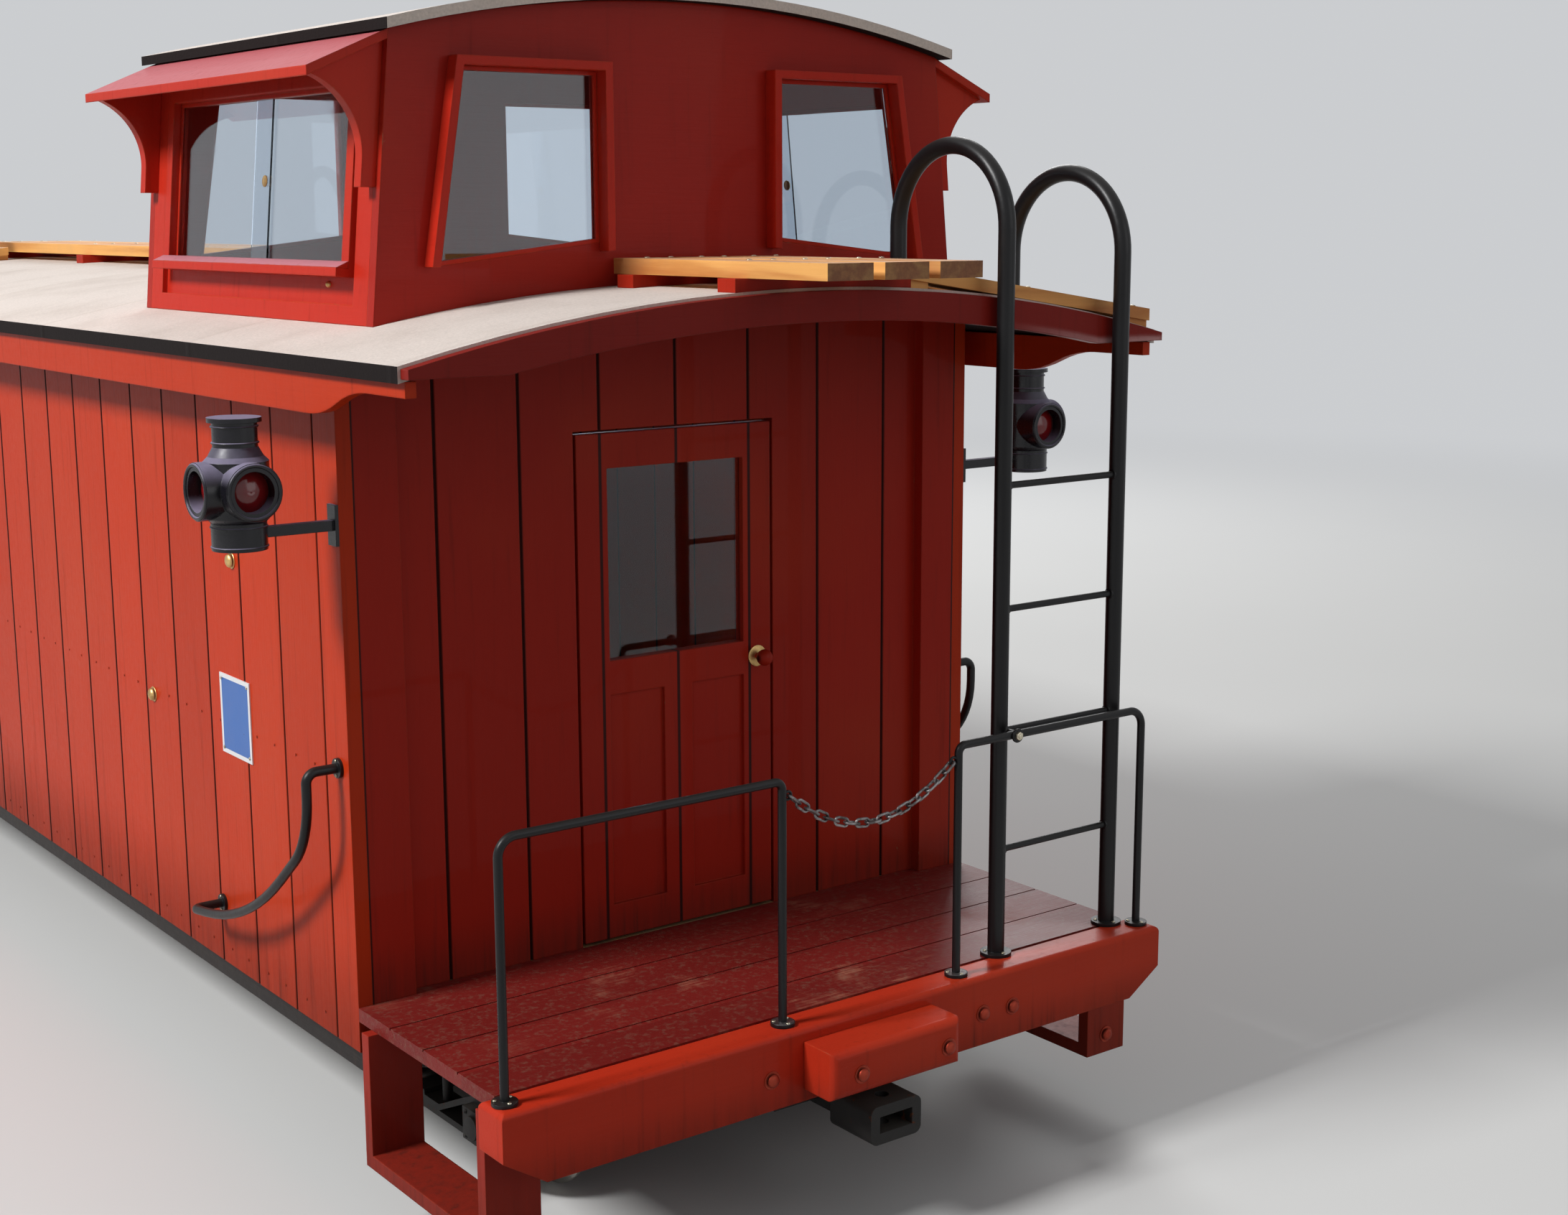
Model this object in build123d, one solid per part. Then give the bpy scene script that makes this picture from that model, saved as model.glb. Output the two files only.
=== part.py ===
from build123d import *
import os
from math import asin, atan2, ceil, cos, degrees, pi, radians, sin, sqrt, tan

# A ride-on park railway's wooden caboose, in millimetres.
# X runs across the car, Y along it (the front end is at -Y), Z up.
# The origin is on the floor under the middle of the car, at the flanges' lowest points.

# Driving sizes: track and running gear
gauge = 610.0              # between the rails' inner edges
tread_d = 200.0            # wheel tread diameter
flange_h = 12.0            # flange beyond the tread
flange_t = 12.0
flange_play = 5.0          # flange to rail, each side
tread_w = 45.0
tread_cone = 1.0           # tread radius lost across its width
rim_t = 18.0
web_t = 14.0
hub_d = 66.0
hub_stick_out = 4.0        # hub beyond the rim, each side
axle_d = 40.0
journal_d = 26.0
journal_len = 46.0
journal_play = 0.08        # radial
axle_end_play = 2.0
wheelbase = 420.0          # of one truck
truck_inset = 600.0        # end beam's face to the truck's middle
kingpin_d = 30.0
kingpin_play = 0.08        # radial
bearing_gap = 0.3          # body centre plate over truck centre bowl

# Driving sizes: truck frame
bar_w = 40.0
bar_t = 10.0
bar_crest = 205.0          # top of the upper arch bar
box_w = 60.0               # journal box along the car
box_h = 50.0
box_wall = 9.0
box_clear = 8.0            # wheel face to journal box
arch_flat = 150.0          # level middle of the arch bars
column_d = 16.0
plank_t = 8.0
truck_bolster_w = 90.0
bolster_lift = 1.0         # bolster's end below the upper arch bar
truck_bolster_h = 55.0
bowl_d = 130.0
bowl_h = 11.0
spring_d = 46.0
spring_wire = 9.0
spring_turns = 3.5

# Driving sizes: underframe
beam_to_beam = 3330.0      # over the end beams' faces
deck_h = 300.0             # deck top above the rail
beam_w = 1166.0
beam_t = 60.0
beam_h = 104.0
beam_end_h = 64.0          # beam height at its cut-off ends
beam_cut = 62.0            # length of that cut
beam_round = 9.0
plank_floor_t = 20.0
plank_pitch = 95.0         # about; the platform takes a whole number
plank_joint = 3.0
sill_h = 50.0
sill_w = 50.0
sill_gap = 110.0           # between the two centre sills
side_sill_w = 60.0
side_sill_h = 92.0
cross_t = 20.0
body_bolster_w = 120.0
bearer_w = 60.0
bearer_from_middle = 245.0
centre_plate_d = 110.0
centre_plate_h = 6.0
buffer_w = 230.0
buffer_h = 68.0
buffer_t = 65.0
buffer_drop = 18.0         # buffer's top below the deck
buffer_round = 12.0
coupler_w = 90.0
coupler_h = 56.0
coupler_out = 60.0         # head's face beyond the end beam
coupler_drop = 10.0        # head below the end beam
coupler_mouth_h = 24.0
coupler_mouth_w = 58.0
coupler_mouth_deep = 70.0
coupler_pin_d = 20.0
coupler_pin_in = 32.0      # pin behind the head's face
shank_w = 50.0
shank_len = 230.0

# Driving sizes: body
platform = 440.0           # end beam's face to the body
body_w = 1120.0
wall_t = 22.0
side_drop = 66.0           # side boards below the deck
board_pitch = 136.0
first_groove = 72.0        # body corner to the first groove
groove_w = 6.0
groove_deep = 4.0
end_recess = 20.0          # end wall behind the corner posts
corner_post_w = 90.0
door_open_w = 360.0
door_open_h = 780.0
door_gap = 5.0
door_stile = 52.0
door_panel_in = 6.0
door_glass_low = 430.0     # from the door's foot
knob_d = 26.0
hinge_len = 60.0
hinge_barrel_d = 10.0
hinge_pin_d = 5.0
hinge_play = 0.08          # radial
knuckle_gap = 0.4
leaf_w = 28.0
leaf_t = 2.0
side_window_from = 400.0   # car's middle to the window's near edge, towards the rear
side_window_w = 400.0
side_window_low = 420.0    # above the deck
side_window_h = 300.0
casing_w = 27.0
casing_t = 10.0
sash_w = 18.0
sash_t = 12.0
meeting_stile = 24.0
glass_t = 3.0
window_sill_out = 22.0
window_sill_t = 12.0

# Driving sizes: roof
roof_out = 79.0            # eaves beyond the body side
roof_crown = 992.0         # above the deck
roof_rise = 78.0
roof_t = 20.0
roof_end_in = 78.0         # end beam's face to the arch board's face
arch_board_t = 20.0
arch_board_h = 45.0        # at the crown
arch_shoulder_in = 139.0   # roof edge to where its lower edge turns level
arch_trim = 4.0            # canvas over the board's top edge
fascia_t = 15.0
fascia_in = 9.0            # roof edge to fascia face
fascia_h = 56.0            # below the roof boards, along the body
fascia_end_h = 20.0        # over the platforms
fascia_curve_from = 370.0  # end beam's face to the start of the S-curve
fascia_curve_to = 200.0

# Driving sizes: cupola
cupola_from = 420.0        # front end beam's face to the cupola's front wall
cupola_len = 810.0
cupola_base_w = 1016.0     # across its walls at its base line
cupola_base_drop = 42.0    # that line below the roof's crown
cupola_lean = 5.5          # side walls, degrees inwards
cupola_wall_t = 20.0
cupola_roof_w = 970.0
cupola_rise = 408.0        # its crown above the roof's
cupola_roof_rise = 60.0
cupola_roof_t = 14.0
cupola_roof_out = 25.0     # beyond the end walls
end_window_top = 115.0     # below the cupola's crown
cupola_side_window_top = 138.0
end_window_in = 153.0      # car's middle to the end window's upright edge
end_window_out_top = 374.0
end_window_out_low = 418.0
end_window_low_in = 100.0  # above the base line
end_window_low_out = 70.0
end_casing_w = 12.0        # strips beside and above the end windows
end_casing_t = 24.0
corner_board_w = 64.0
bottom_rail_h = 26.0       # up from the roof, at the side wall's outer face
panel_in = 8.0             # side wall between those boards, behind their face
cupola_side_window_in = 96.0   # cupola corner to the side window
cupola_side_window_low = 68.0  # above the base line
cupola_side_casing_w = 22.0
cupola_side_casing_out = 4.0  # beyond the corner boards
cupola_sill_out = 22.0     # beyond the corner boards
cupola_sill_t = 12.0
cupola_sash_w = 6.0
slide_overlap = 60.0       # of the cupola's sliding panes
slide_gap = 1.0
visor_out = 112.0          # beyond the wall at its tip
visor_top = 72.0           # where it leaves the wall, below the cupola's crown
visor_tip = 123.0
visor_t = 12.0
bracket_low = 175.0        # above the base line
bracket_foot_h = 34.0
bracket_strip = 22.0
bracket_t = 20.0
bracket_in = 12.0          # bracket in from the cupola's corner

# Driving sizes: roof walk
walk_board_w = 74.0
walk_gap = 19.0
walk_board_t = 22.0
walk_past_beam = 70.0
saddle_h = 14.0            # at the crown
saddle_len = 40.0
saddle_w = 300.0
saddle_pitch = 620.0
side_step_from = 150.0     # car's middle to the lateral boards
side_step_to = 632.0
side_step_w = 72.0
side_step_gap = 20.0
side_step_t = 18.0
side_step_block = 12.0     # blocks lift the boards off the roof
side_step_block_w = 40.0
side_step_block_in = 6.0   # from the board's edges
side_step_in = 24.0        # from the arch board's face

# Driving sizes: ironwork
rail_rod = 12.0
rail_h = 343.0
rail_y = 30.0              # behind the end beam's face
rail_bend = 25.0
inner_bend = 12.0
rail_out_x = 562.0
rail_gap_left = -128.0     # inner posts, as seen from that end
rail_gap_right = 188.0
foot_d = 34.0
foot_t = 5.0
ladder_rod = 25.0
ladder_left = 296.0
ladder_right = 529.0
ladder_y = 62.0            # behind the end beam's face
ladder_hook_r = 118.0
ladder_hook_up = 92.0      # hooks' centres above the roof
rung_d = 10.0
rung_first = 161.0
rung_pitch = 181.0
rungs = 4
link_len = 27.0
link_w = 15.0
link_wire = 4.0
link_slack = 0.3
chain_drop = 62.0
chain_eye_z = 322.0        # above the deck
grab_rod = 14.0
grab_stand_off = 50.0
grab_rise = 98.0           # upright part, from its knee to the top
grab_knee = 242.0          # above the deck
grab_turn = 64.0           # where it starts to level out, above the deck
grab_foot = 32.0
grab_from_corner = 30.0
grab_knee_run = 225.0      # along the car from the upright part to that turn
grab_run = 437.0
grab_bend = 130.0
grab_turn_bend = 600.0
grab_small_bend = 16.0
lamp_out = 140.0           # beyond the body side
lamp_low = 662.0           # above the deck
lamp_foot_d = 72.0         # oil pot at its foot
lamp_foot_h = 36.0
lamp_d = 84.0
lamp_body_h = 86.0
lamp_shoulder_h = 12.0
lamp_neck_d = 58.0
lamp_neck_h = 32.0
lamp_cap_d = 70.0
lamp_cap_h = 6.0
lens_d = 54.0
lens_rim = 11.0
lens_tube = 14.0           # tube round the lens, beyond the lamp's body
lens_sunk = 11.0           # lens edge behind the tube's mouth
lens_out = 9.0             # height of its dome
lamp_arm = 14.0
plate_w = 110.0
plate_h = 124.0
plate_t = 2.0
plate_from_corner = 380.0
plate_z = 345.0            # above the deck
step_w = 80.0
step_from = 495.0          # car's middle to the step
step_board = 20.0
step_low = 215.0           # below the deck
step_len = 340.0

# Levels and places worked out from the driving sizes
rail_z = flange_h
axle_z = rail_z + tread_d / 2
deck_z = rail_z + deck_h
floor_z = deck_z - plank_floor_t
beam_y = -beam_to_beam / 2               # front end beam's face
body_y = beam_y + platform               # body's front corner
body_len = beam_to_beam - 2 * platform
body_x = body_w / 2
inner_x = body_x - wall_t
truck_y = beam_y + truck_inset
wheel_back = gauge / 2 - flange_play - flange_t
wheel_face = wheel_back + flange_t + tread_w
box_in = wheel_face + hub_stick_out + box_clear
sill_z = floor_z - sill_h
cross_z = sill_z - cross_t
side_sill_x = inner_x - side_sill_w
end_wall_y = body_y + end_recess
roof_z = deck_z + roof_crown
roof_w = body_w + 2 * roof_out
roof_r = (roof_w ** 2 / 4 + roof_rise ** 2) / (2 * roof_rise)
roof_y = beam_y + roof_end_in
cupola_y = beam_y + cupola_from
cupola_rear_y = cupola_y + cupola_len
cupola_base_z = roof_z - cupola_base_drop
cupola_roof_z = roof_z + cupola_rise
cupola_r = (cupola_roof_w ** 2 / 4 + cupola_roof_rise ** 2) / (2 * cupola_roof_rise)
lean = tan(radians(cupola_lean))
walk_half = 1.5 * walk_board_w + walk_gap
walk_z = roof_z + saddle_h

nodes = {}


def keep(name, *solids):
    """Store one node made of the given solids."""
    nodes[name] = solids[0] if len(solids) == 1 else Compound(children=list(solids))


def turned(shape):
    """The same piece at the other end, turned half round."""
    return Rot(0, 0, 180) * shape


def mirrored(shape):
    """The same piece on the other side of the car."""
    return mirror(shape, about=Plane.YZ)


def block(x0, x1, y0, y1, z0, z1):
    """A squared piece between two corners."""
    return Pos((x0 + x1) / 2, (y0 + y1) / 2, (z0 + z1) / 2) * Box(x1 - x0, y1 - y0, z1 - z0)


def across(edges, y0, y1):
    """Extrude a closed outline, drawn across the car in X and Z, from y0 to y1."""
    return extrude(Pos(0, y0, 0) * Face(Wire(edges)), amount=y1 - y0, dir=(0, 1, 0))


def poly_across(points, y0, y1):
    """Extrude a polygon of (x, z) points from y0 to y1."""
    face = make_face(Polyline(*[(x, 0, z) for x, z in points], close=True))
    return extrude(Pos(0, y0, 0) * face, amount=y1 - y0, dir=(0, 1, 0))


def poly_along(points, x0, x1):
    """Extrude a polygon of (y, z) points from x0 to x1."""
    face = make_face(Polyline(*[(0, y, z) for y, z in points], close=True))
    return extrude(Pos(x0, 0, 0) * face, amount=x1 - x0, dir=(1, 0, 0))


def post(x, y, z0, z1, d):
    """An upright round piece."""
    return Pos(x, y, (z0 + z1) / 2) * Cylinder(d / 2, z1 - z0)


def bent(points, bends):
    """Straight runs through the points, with a round bend at each inner one."""
    pts = [Vector(*p) for p in points]
    edges, start = [], pts[0]
    for a, b, c, r in zip(pts, pts[1:], pts[2:], bends):
        u, v = (a - b).normalized(), (c - b).normalized()
        half = radians(u.get_angle(v)) / 2
        p, q = b + u * (r / tan(half)), b + v * (r / tan(half))
        mid = b + (u + v).normalized() * (r / sin(half) - r)
        edges += [Line(start, p), ThreePointArc(p, mid, q)]
        start = q
    return Wire(edges + [Line(start, pts[-1])])


def rod(path, d):
    """A round rod along a path."""
    return sweep(Plane(origin=path @ 0, z_dir=path % 0) * Circle(d / 2), path=path)


def arch(x, crown, radius):
    """Height of a shallow arch at x from its middle."""
    return crown - radius + sqrt(radius ** 2 - x ** 2)


def arch_edge(x, crown, radius):
    """The arch's curve from x to -x, through the crown."""
    z = arch(x, crown, radius)
    return ThreePointArc((x, 0, z), (0, 0, crown), (-x, 0, z))


def roof_top(x):
    return arch(x, roof_z, roof_r)


def roof_under(x):
    return arch(x, roof_z - roof_t, roof_r - roof_t)


def cupola_x(z):
    """Outer face of the cupola's side wall at height z."""
    return cupola_base_w / 2 - lean * (z - cupola_base_z)


def cupola_under(x):
    return arch(x, cupola_roof_z - cupola_roof_t, cupola_r - cupola_roof_t)


def cupola_eave():
    """X and height where the side wall's outer face meets the cupola roof."""
    z = cupola_roof_z - cupola_roof_rise
    for _ in range(8):
        z = cupola_under(cupola_x(z))
    return cupola_x(z), z


# Wheels and axles

def wheelset(y):
    """Both wheels and their axle, turned from one outline."""
    r = tread_d / 2
    web = (wheel_back + wheel_face) / 2
    # columns: x outwards from the middle, radius
    half = [
        (0, axle_d / 2),
        (wheel_back - hub_stick_out, axle_d / 2),
        (wheel_back - hub_stick_out, hub_d / 2),
        (web - web_t / 2, hub_d / 2),
        (web - web_t / 2, r - rim_t),
        (wheel_back, r - rim_t),
        (wheel_back, r + flange_h),
        (wheel_back + flange_t * 0.45, r + flange_h),
        (wheel_back + flange_t, r),
        (wheel_face, r - tread_cone),
        (wheel_face, r - rim_t),
        (web + web_t / 2, r - rim_t),
        (web + web_t / 2, hub_d / 2),
        (wheel_face + hub_stick_out, hub_d / 2),
        (wheel_face + hub_stick_out, journal_d / 2),
        (box_in + journal_len, journal_d / 2),
        (box_in + journal_len, 0),
    ]
    outline = half + [(-x, z) for x, z in reversed(half[1:])]
    face = make_face(Polyline(*[(x, 0, z) for x, z in outline], close=True))
    return Pos(0, y, axle_z) * revolve(face, axis=Axis.X, revolution_arc=360)


# Trucks

def arch_bar(z_mid, z_box):
    """A flat bar bent over or under the truck's middle: columns y, z of its lower face."""
    reach = wheelbase / 2 + box_w / 2
    knee = wheelbase / 2 - box_w / 2
    lower = [(-reach, z_box), (-knee, z_box), (-arch_flat / 2, z_mid),
             (arch_flat / 2, z_mid), (knee, z_box), (reach, z_box)]
    return poly_along(lower + [(y, z + bar_t) for y, z in reversed(lower)],
                      box_in, box_in + bar_w)


def truck_side():
    """Arch bars, tie bar, columns and journal boxes of one side."""
    box_low, box_top = axle_z - box_h / 2, axle_z + box_h / 2
    reach = wheelbase / 2 + box_w / 2
    side = arch_bar(bar_crest - bar_t, box_top + bar_t) + arch_bar(box_low, box_top)
    side += block(box_in, box_in + bar_w, -reach, reach, box_low - bar_t, box_low)
    box_out = box_in + journal_len + axle_end_play + box_wall
    for y in (-wheelbase / 2, wheelbase / 2):
        box = block(box_in, box_out, y - box_w / 2, y + box_w / 2, box_low, box_top)
        lid = Pos(box_out, y, axle_z) * Rot(0, 90, 0) * Cylinder(box_h * 0.36, box_wall)
        bore = Pos(box_in, y, axle_z) * Rot(0, 90, 0) * Cylinder(
            journal_d / 2 + journal_play, 2 * (journal_len + axle_end_play))
        side += box + lid
        side -= bore
    for y in (-arch_flat / 2 + column_d / 2, arch_flat / 2 - column_d / 2):
        side += post(box_in + bar_w / 2, y, box_low, bar_crest, column_d)
    return side


def truck_frame():
    """Two sides joined by the spring plank."""
    low = axle_z - box_h / 2 + bar_t
    plank = block(-box_in - bar_w, box_in + bar_w, -truck_bolster_w / 2 + column_d,
                  truck_bolster_w / 2 - column_d, low, low + plank_t)
    return truck_side() + mirrored(truck_side()) + plank


truck_bolster_z = cross_z - bowl_h - centre_plate_h
spring_x = box_in + bar_w / 2


def truck_bolster():
    """The cross beam on the springs, with the bowl that the car turns on."""
    half = spring_x + spring_d / 2
    low = truck_bolster_z - truck_bolster_h
    shallow = truck_bolster_z - truck_bolster_h / 2
    end_top, shoulder = bar_crest - bar_t - bolster_lift, box_in - column_d
    right = [(half * 0.4, low), (half * 0.72, shallow), (half, shallow), (half, end_top),
             (shoulder, end_top), (shoulder - column_d, truck_bolster_z)]
    beam = poly_across(right + [(-x, z) for x, z in reversed(right)],
                       -truck_bolster_w / 2, truck_bolster_w / 2)
    bowl = post(0, 0, truck_bolster_z, truck_bolster_z + bowl_h, bowl_d)
    return beam + bowl - post(0, 0, low - 1, truck_bolster_z + bowl_h + 1,
                              kingpin_d + 2 * kingpin_play)


def truck_spring(x):
    """A coil spring between the spring plank and the bolster."""
    low = axle_z - box_h / 2 + bar_t + plank_t
    high = truck_bolster_z - truck_bolster_h / 2
    pitch = (high - low - spring_wire) / spring_turns
    path = Helix(pitch, high - low - spring_wire, (spring_d - spring_wire) / 2)
    coil = sweep(Plane(origin=path @ 0, z_dir=path % 0) * Circle(spring_wire / 2), path=path)
    return Pos(x, 0, low + spring_wire / 2) * coil


# Underframe

def end_beam():
    """The end beam: its lower corners are cut off and its edges rounded."""
    half, low = beam_w / 2, deck_z - beam_h
    beam = poly_across([(-half, deck_z), (-half, deck_z - beam_end_h), (-half + beam_cut, low),
                        (half - beam_cut, low), (half, deck_z - beam_end_h), (half, deck_z)],
                       beam_y, beam_y + beam_t)
    top = beam.edges().filter_by(Axis.X).group_by(Axis.Z)[-1]
    ends = beam.edges().filter_by(Axis.Y).group_by(Axis.Z)[-1]
    return fillet(top + ends, beam_round)


def buffer_block():
    """The wooden block in front of the end beam."""
    top = deck_z - buffer_drop
    piece = block(-buffer_w / 2, buffer_w / 2, beam_y - buffer_t, beam_y, top - buffer_h, top)
    front = piece.faces().sort_by(Axis.Y)[0].edges()
    uprights = piece.edges().filter_by(Axis.Z).group_by(Axis.Y)[0]
    return fillet(front + uprights, buffer_round)


def coupler():
    """A link-and-pin drawhead on its shank, hung under the centre sills."""
    top = deck_z - beam_h - coupler_drop
    low = top - coupler_h
    mid = (top + low) / 2
    face = beam_y - coupler_out
    head = block(-coupler_w / 2, coupler_w / 2, face, face + coupler_mouth_deep + 20, low, top)
    head = fillet(head.edges().filter_by(Axis.Y), 12)
    head -= block(-coupler_mouth_w / 2, coupler_mouth_w / 2, face - 1,
                  face + coupler_mouth_deep, mid - coupler_mouth_h / 2, mid + coupler_mouth_h / 2)
    shank = block(-shank_w / 2, shank_w / 2, face + coupler_mouth_deep + 10,
                  face + coupler_mouth_deep + shank_len, low + 8, top - 8)
    hanger = block(-sill_gap / 2 - sill_w, sill_gap / 2 + sill_w,
                   beam_y + beam_t + 20, face + coupler_mouth_deep + shank_len - 10,
                   low + 20, sill_z)
    pin = post(0, face + coupler_pin_in, low - 1, top + 1, coupler_pin_d)
    return head + shank + hanger - pin


def body_bolster():
    """Cross plate over the truck, with centre plate and kingpin."""
    plate = block(-side_sill_x, side_sill_x, truck_y - body_bolster_w / 2,
                  truck_y + body_bolster_w / 2, cross_z, sill_z)
    bowl_top = truck_bolster_z + bowl_h
    plate += post(0, truck_y, bowl_top + bearing_gap, cross_z, centre_plate_d)
    plate += post(0, truck_y, truck_bolster_z - truck_bolster_h, cross_z, kingpin_d)
    return plate


def deck():
    """Platform planks laid across the car, with a groove at each joint."""
    y0, y1 = beam_y + beam_t, body_y
    top = block(-body_x, body_x, y0, y1, floor_z, deck_z)
    planks = round((y1 - y0) / plank_pitch)
    for i in range(1, planks):
        y = y0 + (y1 - y0) * i / planks
        top -= block(-body_x - 1, body_x + 1, y - plank_joint / 2, y + plank_joint / 2,
                     deck_z - plank_joint, deck_z + 1)
    x = body_x - corner_post_w
    return top + block(-x, x, y1, end_wall_y, floor_z, deck_z)


def step(side):
    """Two hanging boards and the tread between them, at one corner."""
    y0 = beam_y + beam_t + 2
    low = deck_z - step_low
    x0, x1 = step_from, step_from + step_w
    piece = block(x0, x1, y0, y0 + step_board, low, floor_z)
    piece += block(x0, x1, y0 + step_len - step_board, y0 + step_len, low, floor_z)
    piece += block(x0, x1, y0, y0 + step_len, low, low + step_board)
    return piece if side > 0 else mirrored(piece)


# Body walls

def groove_places():
    """Distances from the body's front corner to each board joint, evenly spaced."""
    bays = round((body_len - 2 * first_groove) / board_pitch)
    pitch = (body_len - 2 * first_groove) / bays
    return [first_groove + pitch * i for i in range(bays + 1)]


def side_wall():
    """Left wall of upright tongued boards, with its window cut."""
    low = deck_z - side_drop
    wall = poly_across([(-body_x, low), (-inner_x, low), (-inner_x, roof_under(inner_x)),
                        (-body_x, roof_under(body_x))], body_y, body_y + body_len)
    for d in groove_places():
        y = body_y + d
        vee = make_face(Polyline((-body_x, y - groove_w / 2), (-body_x + groove_deep, y),
                                 (-body_x, y + groove_w / 2), close=True))
        wall -= extrude(Pos(0, 0, low - 1) * vee, amount=roof_z - low)
    y0, z0 = side_window_from, deck_z + side_window_low
    return wall - block(-body_x - 1, -inner_x + 1, y0, y0 + side_window_w, z0, z0 + side_window_h)


def end_wall():
    """Front wall set back between its corner posts, with the doorway."""
    x = inner_x
    edges = [Line((-x, 0, deck_z), (x, 0, deck_z)), Line((x, 0, deck_z), (x, 0, roof_under(x))),
             arch_edge(x, roof_z - roof_t, roof_r - roof_t),
             Line((-x, 0, roof_under(x)), (-x, 0, deck_z))]
    wall = across(edges, end_wall_y, end_wall_y + wall_t)
    boards = round(2 * x / board_pitch)
    for i in range(1, boards):
        gx = -x + 2 * x * i / boards
        vee = make_face(Polyline((gx - groove_w / 2, end_wall_y), (gx, end_wall_y + groove_deep),
                                 (gx + groove_w / 2, end_wall_y), close=True))
        wall -= extrude(Pos(0, 0, deck_z - 1) * vee, amount=roof_z - deck_z)
    post_in = body_x - corner_post_w
    for side in (-1, 1):
        outline = [(side * x, deck_z), (side * x, roof_under(x)),
                   (side * post_in, roof_under(post_in)), (side * post_in, deck_z)]
        wall += poly_across(outline, body_y, end_wall_y)
    return wall - block(-door_open_w / 2, door_open_w / 2, end_wall_y - 1,
                        end_wall_y + wall_t + 1, deck_z - 1, deck_z + door_open_h)


hinge_y = end_wall_y + wall_t + hinge_barrel_d / 2
hinge_x = -door_open_w / 2
hinge_zs = (deck_z + door_open_h * 0.15, deck_z + door_open_h * 0.8)


def door():
    """Framed door with two sunk panels, a glazed top, a knob and its hinge knuckles."""
    w, h = door_open_w - 2 * door_gap, door_open_h - 2 * door_gap
    y0 = end_wall_y
    low = deck_z + door_gap
    leaf = block(-w / 2, w / 2, y0, y0 + wall_t, low, low + h)
    x = w / 2 - door_stile
    leaf -= block(-x, x, y0 - 1, y0 + wall_t + 1, low + door_glass_low, low + h - door_stile)
    mid = door_stile / 2
    for x0, x1 in ((-x, -mid), (mid, x)):
        z0, z1 = low + door_stile, low + door_glass_low - door_stile
        leaf -= block(x0, x1, y0 - 1, y0 + door_panel_in, z0, z1)
        leaf -= block(x0, x1, y0 + wall_t - door_panel_in, y0 + wall_t + 1, z0, z1)
    knob_z = low + door_glass_low - door_stile / 2
    neck = Pos(w / 2 - door_stile / 2, y0 - 8, knob_z) * Rot(90, 0, 0) * Cylinder(5, 20)
    ball = Pos(w / 2 - door_stile / 2, y0 - 20, knob_z) * Sphere(knob_d / 2)
    leaf += neck + ball
    mid_len = hinge_len / 3 - knuckle_gap
    for z in hinge_zs:
        leaf_in = end_wall_y + wall_t
        leaf += block(-w / 2, -w / 2 + leaf_w, leaf_in, leaf_in + leaf_t, z - mid_len / 2, z + mid_len / 2)
        leaf += block(hinge_x, -w / 2, leaf_in + hinge_barrel_d / 2 - leaf_t / 2,
                      leaf_in + hinge_barrel_d / 2 + leaf_t / 2, z - mid_len / 2, z + mid_len / 2)
        leaf += block(-w / 2 - 0.1, -w / 2 + leaf_t, leaf_in, leaf_in + hinge_barrel_d / 2 + leaf_t / 2,
                      z - mid_len / 2, z + mid_len / 2)
        leaf += post(hinge_x, hinge_y, z - mid_len / 2, z + mid_len / 2, hinge_barrel_d)
        leaf -= post(hinge_x, hinge_y, z - hinge_len, z + hinge_len, hinge_pin_d + 2 * hinge_play)
    return leaf


def door_pane():
    """The door's glass."""
    w, h = door_open_w - 2 * door_gap, door_open_h - 2 * door_gap
    x, mid = w / 2 - door_stile, end_wall_y + wall_t / 2
    low = deck_z + door_gap
    return block(-x, x, mid - glass_t / 2, mid + glass_t / 2, low + door_glass_low,
                 low + h - door_stile)


def hinge(z):
    """The fixed half of a hinge: leaf, two knuckles and the pin."""
    face = end_wall_y + wall_t
    third = hinge_len / 6 + knuckle_gap / 2
    piece = post(hinge_x, hinge_y, z - hinge_len / 2, z + hinge_len / 2, hinge_pin_d)
    for z0, z1 in ((z - hinge_len / 2, z - third), (z + third, z + hinge_len / 2)):
        piece += post(hinge_x, hinge_y, z0, z1, hinge_barrel_d)
        piece += block(hinge_x - leaf_w, hinge_x, face, face + leaf_t, z0, z1)
    return piece


# Windows: each opening gets a casing outside, a sash inside it and its glass

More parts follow.
